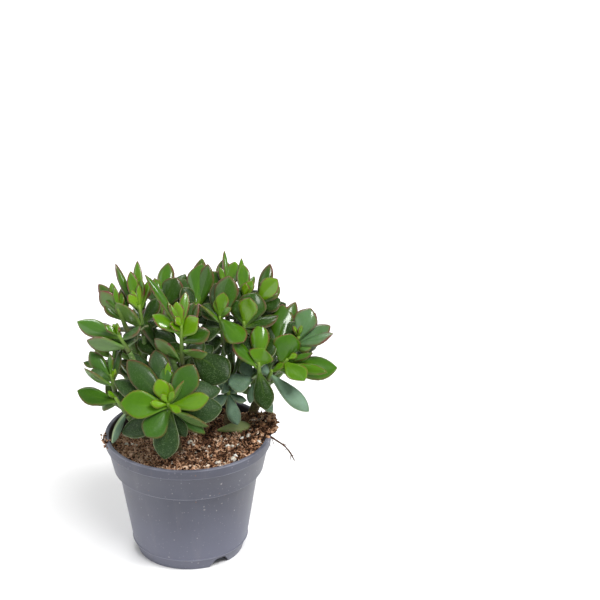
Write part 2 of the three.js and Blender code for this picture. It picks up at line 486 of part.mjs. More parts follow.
function hiddenShoot([name, stem, at, direction, length, pairs, longest, turn]) {
  const tip = new THREE.Vector3(...at);
  const axis = new THREE.Vector3(...direction).normalize();
  const foot = tip.clone().addScaledVector(axis, -length);
  const sideways = new THREE.Vector3(1, 0, 0).cross(axis).normalize();
  const leaves = [];
  for (let pair = 0; pair < pairs; pair++)
    for (const half of [0, 180]) {
      const out = sideways.clone().applyAxisAngle(axis, (turn + 90 * pair + half) * DEGREE);
      const lean = (OPEN.first + OPEN.step * pair) * DEGREE;
      const size = longest * Math.min(1, GROWN.first + GROWN.step * pair);
      const base = tip.clone().addScaledVector(axis, -BUD - (length - BARE) * (pair / pairs));
      const end = base.clone()
        .addScaledVector(axis, size * Math.cos(lean))
        .addScaledVector(out, size * Math.sin(lean));
      const facing = facingOf(base, end, axis, 0);
      leaves.push({ base, tip: end, width: size * SLENDER, age: pair / pairs, facing });
    }
  return { name, stem, tip, foot, axis, leaves };
}

const shootSolid = (shoot, grow = 0) =>
  unite([axisSolid(shoot, grow), ...shoot.leaves.map((leaf) => leafSolid(leaf, grow))]);

const ROOT_DEPTH = 14;
const TRUNK = { sides: 7, steps: 1, taper: 0.72 };
const BRANCH = { sides: 5, steps: 3, from: 2.6, to: 1.9, bend: 0.45 };
const LEAVES_TRUNK = { high: 0.97, low: 0.72 }; // where a branch starts, along the trunk

// A stem: its trunk from the soil to the fork, and a branch to the foot of each of its shoots.
function stemSolid([name, root, fork, radius], shoots, grow = 0) {
  const start = new THREE.Vector3(...root, POT_HEIGHT - SOIL_BELOW_RIM - ROOT_DEPTH);
  const top = new THREE.Vector3(...fork);
  const trunk = branchSolid(new THREE.LineCurve3(start, top),
    radius + grow, radius * TRUNK.taper + grow, TRUNK.sides, TRUNK.steps);
  const branches = shoots.filter(({ stem }) => stem === name).map(({ foot, axis }) => {
    const end = foot.clone().addScaledVector(axis, -GAP);
    const share = foot.z > top.z ? LEAVES_TRUNK.high : LEAVES_TRUNK.low;
    const from = start.clone().lerp(top, share);
    const bend = end.clone().addScaledVector(axis, -BRANCH.bend * end.distanceTo(from));
    const route = new THREE.QuadraticBezierCurve3(from, bend, end);
    return branchSolid(route, BRANCH.from + grow, BRANCH.to + grow, BRANCH.sides, BRANCH.steps);
  });
  return unite([trunk, ...branches]);
}

// ---- Loose pieces ----------------------------------------------------------------------
// An old leaf that fell, and lies on the flank of the heap.
const FALLEN = {
  base: [217.5, 432.5], tip: [250, 428], width: 12, age: 0.5, above: 4.2, show: 1.4,
};

function fallenLeaf(grow = 0) {
  const [base, tip] = [FALLEN.base, FALLEN.tip].map(([x, y]) => {
    const point = soilSeenAt(x, y);
    return point.setZ(point.z + FALLEN.above);
  });
  const facing = facingOf(base, tip, new THREE.Vector3(0, 0, 1), FALLEN.show);
  return leafSolid({ base, tip, facing, width: FALLEN.width, age: FALLEN.age }, grow);
}

// A dry root that hangs out of the heap, over the rim.
const STRAND = {
  radius: 0.6,
  sides: 5,
  steps: 12,
  route: [
    [252, 431, -1], [259, 431.5, -4], [266, 433.5, -7], [275, 439.5, -10],
    [284, 445.5, -12], [290, 452.5, -13], [294.5, 460.5, -14],
  ],
};

function rootStrand(grow = 0) {
  const curve = new THREE.CatmullRomCurve3(STRAND.route.map(seenAt));
  const { radius, sides, steps } = STRAND;
  return branchSolid(curve, radius + grow, radius / 2 + grow, sides, steps);
}

// ---- Assembly --------------------------------------------------------------------------
const LOOKS = {
  pot: { color: 0x5a5c66, roughness: 0.5 },
  soil: { color: 0x6b4a33, roughness: 0.95 },
  stem: { color: 0x7d6a4c, roughness: 0.8 },
  shoot: { color: 0x4f8a2b, roughness: 0.4 },
};

const plant = new THREE.Group();
const placed = [];

// Each new piece gives way to those already placed, with a fine gap between them.
function place(name, look, solid, swollen) {
  const box = solid.boundingBox();
  const apart = (other) =>
    [0, 1, 2].some((k) => other.min[k] > box.max[k] || other.max[k] < box.min[k]);
  const free = placed
    .filter(({ bounds }) => !apart(bounds))
    .reduce((rest, other) => rest.subtract(other.swollen), solid);
  const material = new THREE.MeshStandardMaterial({ ...LOOKS[look], metalness: 0 });
  const mesh = new THREE.Mesh(geometryOf(largestPiece(free)), material);
  mesh.name = name;
  plant.add(mesh);
  placed.push({ swollen, bounds: swollen.boundingBox() });
}

const shoots = [...SHOOTS.map(seenShoot), ...HIDDEN_SHOOTS.map(hiddenShoot)];
place("pot", "pot", pot(), turned(potProfile(GAP), ROUND));
for (const row of STEMS) {
  const solid = stemSolid(row, shoots);
  place(`stem_${row[0]}`, "stem", solid, stemSolid(row, shoots, GAP));
}
for (const shoot of shoots)
  place(`shoot_${shoot.name}`, "shoot", shootSolid(shoot), shootSolid(shoot, GAP));
place("fallen_leaf", "shoot", fallenLeaf(), fallenLeaf(GAP));
place("root_strand", "stem", rootStrand(), rootStrand(GAP));
const ground = soil();
place("soil", "soil", ground, ground);

export default plant;
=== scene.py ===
"""A potted jade plant: a round plastic nursery pot, potting soil, five woody stems rooted in it
and the leafy shoots on their branches. Metres, +Z up, origin at the centre of the pot's foot,
on the ground. -Y is the front."""
import math
import random

import bmesh
import bpy
from mathutils import Matrix, Quaternion, Vector, noise


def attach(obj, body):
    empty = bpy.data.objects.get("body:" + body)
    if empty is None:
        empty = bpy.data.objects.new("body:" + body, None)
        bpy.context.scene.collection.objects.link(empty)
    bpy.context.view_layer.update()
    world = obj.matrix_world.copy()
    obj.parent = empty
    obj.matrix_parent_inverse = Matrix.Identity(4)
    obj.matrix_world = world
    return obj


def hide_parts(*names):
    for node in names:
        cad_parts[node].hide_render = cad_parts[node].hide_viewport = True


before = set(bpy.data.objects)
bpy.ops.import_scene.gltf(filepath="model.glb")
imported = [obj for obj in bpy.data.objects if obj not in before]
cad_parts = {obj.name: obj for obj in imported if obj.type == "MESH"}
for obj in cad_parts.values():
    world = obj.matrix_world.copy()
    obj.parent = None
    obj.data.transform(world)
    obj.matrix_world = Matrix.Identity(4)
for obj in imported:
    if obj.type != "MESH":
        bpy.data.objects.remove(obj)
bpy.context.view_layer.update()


# ---- The view ----------------------------------------------------------------------------
# The camera looks down on the pot from the front, with a long lens. The plant grew as it did,
# so its shoots and leaves are written further down where this camera sees them, in a picture
# 600 pixels wide, and directions are to the right, up and near in that view.
MM = 0.001
POT_HEIGHT = 92 * MM
VIEW_DISTANCE = 1500 * MM
VIEW_ELEVATION = math.radians(27.65)
PICTURE_SIDE = 600
PICTURE_CENTRE = PICTURE_SIDE / 2
PICTURE_FOCAL = 2072
RIM_SEEN_AT = (188.1, 431.6)
SENSOR_WIDTH = 36  # of the camera, in millimetres
EYE = Vector((
    0,
    -VIEW_DISTANCE * math.cos(VIEW_ELEVATION),
    POT_HEIGHT + VIEW_DISTANCE * math.sin(VIEW_ELEVATION),
))


def view_axes():
    """The eye's right, up and near, turned so that the rim's centre is seen at RIM_SEEN_AT."""
    x, y = RIM_SEEN_AT
    seen = Vector((x - PICTURE_CENTRE, PICTURE_CENTRE - y, PICTURE_FOCAL)).normalized()
    sine = math.sin(VIEW_ELEVATION) / math.hypot(seen.y, seen.z)
    pitch = math.asin(sine) + math.atan2(seen.y, seen.z)
    level = seen.y * math.sin(pitch) + seen.z * math.cos(pitch)
    yaw = -math.atan2(seen.x, level)
    right = Vector((math.cos(yaw), -math.sin(yaw), 0))
    flat = math.cos(pitch)
    near = Vector((-math.sin(yaw) * flat, -math.cos(yaw) * flat, math.sin(pitch)))
    return right, near.cross(right), near


RIGHT, UP, NEAR = view_axes()
camera_data = bpy.data.cameras.new("camera")
camera_data.sensor_width = SENSOR_WIDTH
camera_data.lens = PICTURE_FOCAL / PICTURE_SIDE * SENSOR_WIDTH
camera = bpy.data.objects.new("camera", camera_data)
camera.matrix_world = Matrix.Translation(EYE) @ Matrix((RIGHT, UP, NEAR)).transposed().to_4x4()
bpy.context.scene.collection.objects.link(camera)
bpy.context.scene.camera = camera


def ray_through(x, y):
    across = (x - PICTURE_CENTRE) / PICTURE_FOCAL
    above = (PICTURE_CENTRE - y) / PICTURE_FOCAL
    return RIGHT * across + UP * above - NEAR


def seen_at(x, y, back):
    """The point seen at x, y that lies "back" millimetres behind the pot's axis."""
    ray = ray_through(x, y)
    return EYE + ray * ((back * MM - EYE.y) / ray.y)


def seen_near(x, y, start, near):
    """The point seen at x, y that is "near" millimetres closer to the eye than start."""
    return EYE + ray_through(x, y) * ((EYE - start).dot(NEAR) - near * MM)


# ---- The studio --------------------------------------------------------------------------
# A wide white floor under a pale sky, lit evenly by a broad soft sun from the upper right, with
# a lamp high at the right, a wide weak one at the left and one behind, as for a catalogue.
FLOOR_SIDE = 60.0
FLOOR_WHITES = [(0.3, (0.86, 0.86, 0.86, 1)), (0.7, (0.88, 0.88, 0.88, 1))]
SKY_STRENGTH = 0.36
SKY_SEEN = 0.92  # how bright it is where the camera sees it
LAMPS = [  # name, place, side, power in watts
    ("lamp_right", (0.78, -0.50, 1.40), 0.45, 15.0),
    ("lamp_left", (-1.30, -0.35, 0.80), 1.50, 10.0),
    ("lamp_back", (-0.15, 0.95, 1.35), 0.60, 11.0),
]
SUN_AIM = (-0.28, 0.55, -1.0)
SUN_STRENGTH = 1.95
SUN_SPREAD = math.radians(28)


def paint(red, green, blue):
    """A colour from 0 to 255 as a screen shows it, made linear for a material."""
    def linear(level):
        share = level / 255
        return share / 12.92 if share <= 0.04045 else ((share + 0.055) / 1.055) ** 2.4
    return (linear(red), linear(green), linear(blue), 1.0)


def new_material(name, settings):
    """A material with these values on its shader's own sockets, and the tools to build it."""
    material = bpy.data.materials.new(name)
    material.use_nodes = True
    shader = material.node_tree.nodes["Principled BSDF"]
    for socket, value in settings.items():
        shader.inputs[socket].default_value = value
    return material, material.node_tree, shader


def add_node(tree, kind, settings=None, inputs=None, links=None):
    """A node with its properties, its sockets' values and what is linked to its sockets."""
    node = tree.nodes.new(kind)
    for name, value in (settings or {}).items():
        setattr(node, name, value)
    for socket, value in (inputs or {}).items():
        node.inputs[socket].default_value = value
    for socket, source in (links or {}).items():
        tree.links.new(source, node.inputs[socket])
    return node


def maths(tree, operation, first, second=0.0, clamp=False):
    """The output of a Math node on sockets or numbers."""
    node = tree.nodes.new("ShaderNodeMath")
    node.operation = operation
    node.use_clamp = clamp
    for socket, value in zip(node.inputs, (first, second)):
        if isinstance(value, (int, float)):
            socket.default_value = value
        else:
            tree.links.new(value, socket)
    return node.outputs[0]


def between(tree, value, low, high, out_low=0.0, out_high=1.0):
    """A smooth step of a varying value from low to high."""
    node = add_node(
        tree, "ShaderNodeMapRange", {"interpolation_type": "SMOOTHSTEP"},
        {"From Min": low, "From Max": high, "To Min": out_low, "To Max": out_high},
        {"Value": value},
    )
    return node.outputs["Result"]


def times(tree, first, *others):
    """The product of sockets and numbers."""
    for other in others:
        first = maths(tree, "MULTIPLY", first, other)
    return first


def plus(tree, first, *others):
    """The sum of sockets and numbers."""
    for other in others:
        first = maths(tree, "ADD", first, other)
    return first


def weighed(tree, *parts):
    """The sum of several values, each times its share."""
    return plus(tree, *(times(tree, value, share) for value, share in parts))


def centred(tree, value, share):
    """A value from 0 to 1, made to swing as far over 0 as under it, times a share."""
    return times(tree, maths(tree, "SUBTRACT", value, 0.5), share)


def tinted(tree, colour, tint, *masks):
    """The colour with a tint over it, as thick as the product of the masks."""
    node = tree.nodes.new("ShaderNodeMix")
    node.data_type = "RGBA"
    for socket, value in ((0, times(tree, *masks)), (6, colour), (7, tint)):
        if isinstance(value, tuple):
            node.inputs[socket].default_value = value
        else:
            tree.links.new(value, node.inputs[socket])
    return node.outputs[2]


def ramp(tree, value, stops):
    """The colour of a Color Ramp with stops of place and colour."""
    node = add_node(tree, "ShaderNodeValToRGB", links={"Fac": value})
    elements = node.color_ramp.elements
    while len(elements) < len(stops):
        elements.new(0.5)
    for element, (place, colour) in zip(elements, stops):
        element.position = place
        element.color = colour
    return node.outputs["Color"]


def object_place(tree):
    return tree.nodes.new("ShaderNodeTexCoord").outputs["Object"]


def cloud(tree, place, scale, detail=3.0, roughness=0.5, distortion=0.0):
    """Noise from 0 to 1, with "scale" patches to the metre."""
    node = add_node(
        tree, "ShaderNodeTexNoise", None,
        {"Scale": scale, "Detail": detail, "Roughness": roughness, "Distortion": distortion},
        {"Vector": place},
    )
    return node.outputs["Fac"]


def drive(tree, shader, sources):
    """Links what varies over the surface to the shader's sockets."""
    for socket, source in sources.items():
        tree.links.new(source, shader.inputs[socket])


def relief(tree, height, distance, strength, shader):
    """A bump of this height into the shader's normal."""
    bump = add_node(
        tree, "ShaderNodeBump", None, {"Strength": strength, "Distance": distance},
        {"Height": height},
    )
    drive(tree, shader, {"Normal": bump.outputs["Normal"]})


bm = bmesh.new()
bmesh.ops.create_grid(bm, x_segments=2, y_segments=2, size=FLOOR_SIDE / 2)
floor_mesh = bpy.data.meshes.new("floor")
bm.to_mesh(floor_mesh)
bm.free()
floor_paper, tree, shader = new_material("floor_paper", {"Roughness": 0.95})
paper = ramp(tree, cloud(tree, object_place(tree), 3.0), FLOOR_WHITES)
drive(tree, shader, {"Base Color": paper})
floor_mesh.materials.append(floor_paper)
floor = bpy.data.objects.new("floor", floor_mesh)
bpy.context.scene.collection.objects.link(floor)

for name, place, side, power in LAMPS:
    lamp_data = bpy.data.lights.new(name, "AREA")
    lamp_data.size = side
    lamp_data.energy = power
    lamp = bpy.data.objects.new(name, lamp_data)
    aim = Vector((0, 0, POT_HEIGHT)) - Vector(place)
    lamp.matrix_world = Matrix.Translation(place) @ aim.to_track_quat("-Z", "Y").to_matrix().to_4x4()
    bpy.context.scene.collection.objects.link(lamp)

sun_data = bpy.data.lights.new("sun", "SUN")
sun_data.energy = SUN_STRENGTH
sun_data.angle = SUN_SPREAD
sun = bpy.data.objects.new("sun", sun_data)
sun.matrix_world = Vector(SUN_AIM).to_track_quat("-Z", "Y").to_matrix().to_4x4()
sun.visible_glossy = False
bpy.context.scene.collection.objects.link(sun)

sky = bpy.data.worlds.new("sky")
sky.use_nodes = True
tree = sky.node_tree
tree.nodes["Background"].inputs["Color"].default_value = (1, 1, 1, 1)
seen_sky = add_node(tree, "ShaderNodeLightPath").outputs["Is Camera Ray"]
strength = plus(tree, times(tree, seen_sky, SKY_SEEN - SKY_STRENGTH), SKY_STRENGTH)
tree.links.new(strength, tree.nodes["Background"].inputs["Strength"])
bpy.context.scene.world = sky
bpy.context.scene.view_settings.view_transform = "Standard"


# ---- The pot -----------------------------------------------------------------------------
# A round nursery pot moulded in one shot from grey-blue plastic: a tapered wall under a wider
# collar with a rolled lip, a bead round the floor, and a skirt with arches for the water.
RIM_RADIUS = 60 * MM
WALL = 1.3 * MM
FOOT_RADIUS = 38.5 * MM
FLOOR_HEIGHT = 9 * MM
SKIRT_RADIUS = 41 * MM
BEAD = 0.9 * MM
WALL_FOOT_RADIUS = 42 * MM
WALL_TOP_RADIUS = 50.8 * MM
COLLAR_FOOT = (54.2 * MM, 65.4 * MM)  # radius, height
COLLAR_TOP = (58.2 * MM, 84 * MM)
LIP_ROUND = 0.9 * MM
LIP_DEPTH = 2.6 * MM
PLATE_RADIUS = 14 * MM  # the floor's middle, which stands on the ground
PLATE_SLOPE = 3.5 * MM
POT_STEPS = 160
CORNER = 0.45 * MM  # how far a moulded corner is rounded
NOTCH_ANGLES = [math.radians(-58 + 120 * turn) for turn in range(3)]
NOTCH_SIZE = Vector((25, 12, 6.6)) * MM
NOTCH_SLOPE = 8.5 * MM
DRAIN_ANGLES = [math.radians(15 + 60 * turn) for turn in range(6)]
DRAIN_RADIUS = 3.5 * MM
DRAIN_RING = 27 * MM
NOTCH_ROUND = 2 * MM
HIGHLIGHT_HEIGHTS = (9 * MM, 66 * MM, 85.2 * MM, 91.7 * MM)  # edges painted pale, as painted highlights
HIGHLIGHT_REACH = (0.1 * MM, 0.6 * MM)
# The collar's inner side is painted near black, as painted shade. It lies where the radius is less
# than the height times the collar's slope plus this much, and between its foot and the lip.
COLLAR_SLOPE = 0.215
INNER_SHADE_REACH = (39.1 * MM, 39.8 * MM)
INNER_SHADE_FOOT = (66 * MM, 68 * MM)
INNER_SHADE_TOP = (89.5 * MM, 91.2 * MM)
PLASTIC = [(0.3, paint(68, 69, 81)), (0.7, paint(79, 81, 94))]
# Painted light: the wall is painted paler towards its foot.
PAINTED_LIGHT_FOOT = paint(104, 106, 122)
WATER_STAIN = paint(122, 118, 122)
FINE_DUST = paint(168, 166, 174)
COARSE_DUST = paint(178, 172, 172)
SOIL_DUST = paint(128, 92, 70)
PAINTED_EDGE_HIGHLIGHT = paint(158, 160, 174)
PAINTED_INNER_SHADE = paint(34, 31, 32)


def pot_outline():
    """Radius and height, up the outside, over the lip, down the inside and back underneath."""
    floor_top = FLOOR_HEIGHT + WALL
    top_radius, top = COLLAR_TOP
    foot_radius, foot = COLLAR_FOOT
    lip = [
        (RIM_RADIUS - LIP_ROUND + LIP_ROUND * math.cos(turn),
         POT_HEIGHT - LIP_ROUND + LIP_ROUND * math.sin(turn))
        for turn in (math.radians(step) for step in range(0, 91, 18))
    ]
    return [
        (FOOT_RADIUS, 0),
        (SKIRT_RADIUS, FLOOR_HEIGHT - BEAD),
        (SKIRT_RADIUS + BEAD * 0.8, FLOOR_HEIGHT - BEAD * 0.5),
        (SKIRT_RADIUS + BEAD, FLOOR_HEIGHT),
        (WALL_FOOT_RADIUS + BEAD * 0.5, FLOOR_HEIGHT + BEAD * 0.7),
        (WALL_FOOT_RADIUS, FLOOR_HEIGHT + BEAD * 1.2),
        (WALL_TOP_RADIUS, foot - BEAD / 2),
        (foot_radius - BEAD, foot),
        (foot_radius, foot + BEAD * 0.7),
        (top_radius, top),
        (top_radius + WALL * 0.5, top + WALL * 0.4),
        (RIM_RADIUS - LIP_ROUND * 0.3, top + WALL),
        (RIM_RADIUS, POT_HEIGHT - LIP_DEPTH),
        *lip,
        (RIM_RADIUS - LIP_DEPTH, POT_HEIGHT),
        (RIM_RADIUS - LIP_DEPTH - WALL * 0.3, POT_HEIGHT - WALL * 0.3),
        (top_radius - WALL, top),
        (foot_radius - WALL, foot + WALL),
        (WALL_TOP_RADIUS - WALL, foot),
        (WALL_FOOT_RADIUS - WALL, floor_top + WALL),
        (WALL_FOOT_RADIUS - 2 * WALL, floor_top),
        (PLATE_RADIUS + PLATE_SLOPE - WALL, floor_top),
        (PLATE_RADIUS - WALL, WALL),
        (0, WALL),
        (0, 0),
        (PLATE_RADIUS, 0),
        (PLATE_RADIUS + PLATE_SLOPE, FLOOR_HEIGHT),
        (SKIRT_RADIUS - WALL, FLOOR_HEIGHT),
        (FOOT_RADIUS - WALL, 0),
        (FOOT_RADIUS, 0),
    ]


def turn_outline(bm, outline, steps):
    """Turns an outline of radius and height round Z, with its poles closed."""
    verts = [bm.verts.new((radius, 0, height)) for radius, height in outline]
    edges = [bm.edges.new(pair) for pair in zip(verts, verts[1:])]
    bmesh.ops.spin(
        bm, geom=verts + edges, cent=(0, 0, 0), axis=(0, 0, 1),
        angle=math.tau, steps=steps, use_merge=True,
    )
    bmesh.ops.remove_doubles(bm, verts=bm.verts, dist=0.001 * MM)
    bmesh.ops.recalc_face_normals(bm, faces=bm.faces)


def as_object(name, bm, materials=()):
    """A smooth-shaded object of this mesh, with its place in the mesh."""
    mesh = bpy.data.meshes.new(name)
    bm.to_mesh(mesh)
    bm.free()
    for material in materials:
        mesh.materials.append(material)
    mesh.shade_smooth()
    piece = bpy.data.objects.new(name, mesh)
    bpy.context.scene.collection.objects.link(piece)
    return piece


def settle(piece, node=None):
    """The piece rides on the one body and stands for its node."""
    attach(piece, "root")
    if node:
        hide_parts(node)


def apply_modifiers(piece):
    """Keeps the piece as its modifiers leave it."""
    shown = piece.evaluated_get(bpy.context.evaluated_depsgraph_get())
    made = bpy.data.meshes.new_from_object(shown)
    piece.modifiers.clear()
    piece.data = made


def opening_cutter():
    """The arches in the skirt and the round holes in the floor, as solids to take away."""
    bm = bmesh.new()
    for angle in NOTCH_ANGLES:
        made = bmesh.ops.create_cube(bm, size=1)["verts"]
        bmesh.ops.scale(bm, vec=NOTCH_SIZE + Vector((0, 0, NOTCH_SIZE.z)), verts=made)
        top = [vert for vert in made if vert.co.z > 0]
        bmesh.ops.scale(bm, vec=(1 - 2 * NOTCH_SLOPE / NOTCH_SIZE.x, 1, 1), verts=top)
        rims = [edge for edge in bm.edges if all(vert in top for vert in edge.verts)]
        rims = [edge for edge in rims if abs(edge.verts[0].co.x - edge.verts[1].co.x) < MM]
        rounded = bmesh.ops.bevel(
            bm, geom=rims, offset=NOTCH_ROUND, segments=5, profile=0.5, affect="EDGES", material=-1)
        made = list({*[v for v in made if v.is_valid], *rounded["verts"]})
        out = Matrix.Rotation(angle + math.pi / 2, 4, "Z")
        bmesh.ops.transform(bm, matrix=out @ Matrix.Translation((0, -FOOT_RADIUS, 0)), verts=made)
    for angle in DRAIN_ANGLES:
        place = (DRAIN_RING * math.cos(angle), DRAIN_RING * math.sin(angle), FLOOR_HEIGHT)
        bmesh.ops.create_cone(
            bm, cap_ends=True, segments=28, radius1=DRAIN_RADIUS, radius2=DRAIN_RADIUS,
            depth=4 * WALL, matrix=Matrix.Translation(place),
        )
    bmesh.ops.recalc_face_normals(bm, faces=bm.faces)
    return as_object("pot_openings", bm)


def specks_group():
    """Pale specks of dust that lie apart on a surface, as a mask from 0 to 1."""
    group = bpy.data.node_groups.new("dust_specks", "ShaderNodeTree")
    group.interface.new_socket("Place", in_out="INPUT", socket_type="NodeSocketVector")
    for name in ("Pitch", "Size", "Share"):
        group.interface.new_socket(name, in_out="INPUT", socket_type="NodeSocketFloat")
    group.interface.new_socket("Mask", in_out="OUTPUT", socket_type="NodeSocketFloat")
    given = group.nodes.new("NodeGroupInput").outputs
    cells = add_node(
        group, "ShaderNodeTexVoronoi", None, {"Randomness": 1.0},
        {"Vector": given["Place"], "Scale": given["Pitch"]},
    ).outputs
    wobble = centred(group, cloud(group, given["Place"], 2600.0, 2.0), 0.25)
    distance = plus(group, cells["Distance"], wobble)
    chosen = add_node(group, "ShaderNodeSeparateColor", links={"Color": cells["Color"]}).outputs
    rare = maths(group, "LESS_THAN", chosen["Red"], given["Share"])
    reach = times(group, given["Size"], plus(group, chosen["Green"], 0.35))
    inside = maths(group, "SUBTRACT", 1.0, maths(group, "DIVIDE", distance, reach), clamp=True)
    speck = times(group, maths(group, "MULTIPLY", inside, 2.0, clamp=True), rare)
    group.links.new(speck, group.nodes.new("NodeGroupOutput").inputs["Mask"])
    return group


DUST = specks_group()


def dust(tree, place, pitch, size, share):
    """Specks: "pitch" cells to the metre, their size in cells, and the share of cells with one."""
    node = add_node(
        tree, "ShaderNodeGroup", {"node_tree": DUST},
        {"Pitch": pitch, "Size": size, "Share": share}, {"Place": place},
    )
    return node.outputs["Mask"]


def stretched(tree, place, scale):
    """The place with its X, Y and Z times these."""
    node = add_node(tree, "ShaderNodeMapping", None, {"Scale": scale}, {"Vector": place})
    return node.outputs["Vector"]


def axis_of(tree, place, axis):
    return add_node(tree, "ShaderNodeSeparateXYZ", links={"Vector": place}).outputs[axis]


def pot_plastic():
    """Grey-blue plastic with a fine mould grain, dull patches, and dust from the soil; with
    painted highlights on its edges, painted light low down and painted shade inside the collar.
    """
    material, tree, shader = new_material(
        "pot_plastic", {"Specular IOR Level": 0.42, "Coat Weight": 0.06, "Coat Roughness": 0.3})
    place = object_place(tree)
    height = axis_of(tree, place, "Z")
    patches = cloud(tree, place, 28.0, 4.0, 0.6)
    streaks = cloud(tree, stretched(tree, place, (1.0, 1.0, 0.12)), 90.0, 4.0, 0.6)
    near_rim = between(tree, height, POT_HEIGHT / 2, POT_HEIGHT, 0.5, 1.0)
    fine = times(tree, dust(tree, place, 700.0, 0.34, 0.16), near_rim)
    coarse = times(tree, dust(tree, place, 230.0, 0.15, 0.34), near_rim)
    brown = times(tree, dust(tree, place, 240.0, 0.15, 0.07), near_rim)
    # Painted highlights: thin pale lines along the rim, the lip's edge, the collar's foot and the bead.
    edge_highlight = 0.0
    for edge in HIGHLIGHT_HEIGHTS:
        apart = maths(tree, "ABSOLUTE", maths(tree, "SUBTRACT", height, edge))
        edge_highlight = maths(tree, "MAXIMUM", between(tree, apart, *HIGHLIGHT_REACH, 1.0, 0.0), edge_highlight)
    radius = add_node(
        tree, "ShaderNodeVectorMath", {"operation": "LENGTH"},
        links={"Vector": stretched(tree, place, (1, 1, 0))}).outputs["Value"]
    # Painted shade: the collar's inner side above the soil is painted near black.
    inner_shade = times(
        tree,
        between(tree, weighed(tree, (radius, 1), (height, -COLLAR_SLOPE)), *INNER_SHADE_REACH, 0.85, 0.0),
        between(tree, height, *INNER_SHADE_FOOT),
        between(tree, height, *INNER_SHADE_TOP, 1.0, 0.0),
    )
    colour = ramp(tree, patches, PLASTIC)
    for tint, *masks in (
        # painted light: paler towards the foot
        (PAINTED_LIGHT_FOOT, between(tree, height, 0.004, 0.066, 0.75, 0.0)),
        (WATER_STAIN, between(tree, streaks, 0.52, 0.75), 0.16),
        (FINE_DUST, fine, 0.45),
        (COARSE_DUST, coarse, 0.75),
        # painted highlights along the edges
        (PAINTED_EDGE_HIGHLIGHT, edge_highlight, between(tree, patches, 0.35, 0.6, 0.12, 0.4)),
        # painted shade inside the collar
        (PAINTED_INNER_SHADE, inner_shade),
        (SOIL_DUST, brown, 0.8),
    ):
        colour = tinted(tree, colour, tint, *masks)
    rough = plus(tree, weighed(tree, (patches, 0.16), (fine, 0.25)), 0.36)
    drive(tree, shader, {"Base Color": colour, "Roughness": rough})
    grain = cloud(tree, place, 1500.0, 2.0)
    sag = cloud(tree, place, 60.0, 1.0)
    height = weighed(tree, (grain, 0.03), (sag, 0.25), (coarse, 0.3))
    relief(tree, height, 0.5 * MM, 0.35, shader)
    return material


bm = bmesh.new()
turn_outline(bm, pot_outline(), POT_STEPS)
pot = as_object("nursery_pot", bm, [pot_plastic()])
cutter = opening_cutter()
cut = pot.modifiers.new("openings", "BOOLEAN")
cut.operation = "DIFFERENCE"
cut.solver = "EXACT"
cut.object = cutter
rounding = pot.modifiers.new("moulded_corners", "BEVEL")
rounding.width = CORNER
rounding.segments = 2
rounding.limit_method = "ANGLE"
rounding.angle_limit = math.radians(50)
apply_modifiers(pot)
bpy.data.objects.remove(cutter)
pot.data.set_sharp_from_angle(angle=math.radians(40))
settle(pot, "pot")


# ---- The soil ----------------------------------------------------------------------------
# Potting soil of coconut fibre and peat with grains of perlite, poured in loose: heaped over
# the rim at the right, sunk a little at the back left. A bed carries the crumbs and fibres.
SOIL_HEIGHT = POT_HEIGHT - 9 * MM
HEAP = (58 * MM, 6 * MM, 14.5 * MM, 28 * MM)  # x, y, rise, spread
SUNK = (-38 * MM, 36 * MM, -7 * MM, 18 * MM)
SPILL = 3.5 * MM  # how far the heap reaches past the rim
GAP = 0.35 * MM  # between pieces that touch
# Damp soil that stuck to the lip: degrees round the rim, and millimetres past it and over it.
RIM_CLUMP = {
    "count": 50, "turn": (-171, 4.5), "reach": (0.2, 1.4), "height": (-3.6, 1.6),
    "size": (0.9, 2.5), "tone": (-0.15, 0.3),
}
# Soil on the lip, where the heap spills over it, measured in the same way.
SPILLED = {
    "count": 260, "turn": (-45, 60), "reach": (-0.6, 0.9), "height": (-0.8, 2.4),
    "size": (1.2, 3.4), "tone": (0.15, 0.7),
}
SOIL_STEPS = 120
SOIL_RINGS = 36
BED_ROUGHNESS = 0.8 * MM
CLUMPS = 2.6 * MM  # how high the crumbs are heaped where they cling together
BROAD_CLUMPS, SMALL_CLUMPS = 110, 330  # noise to the metre
FINE_BED, FINEST_BED = 260, 900
CRUMBS = 4000
CHIPS = 4200
GRAINS = 70
CRUMB_SIZE = (1.0 * MM, 2.8 * MM)  # the least, and how much more the largest has
CHIP_SIZE = (2.0 * MM, 4.2 * MM)
GRAIN_SIZE = (0.6 * MM, 1.3 * MM)
# Painted light: the soil is painted paler and more mottled at the left, where the leaves shade it,
# fading out between these two.
PAINTED_LIGHT_X = -45 * MM  # at the left of this the soil is painted pale, as painted light
PAINTED_LIGHT_END_X = 10 * MM
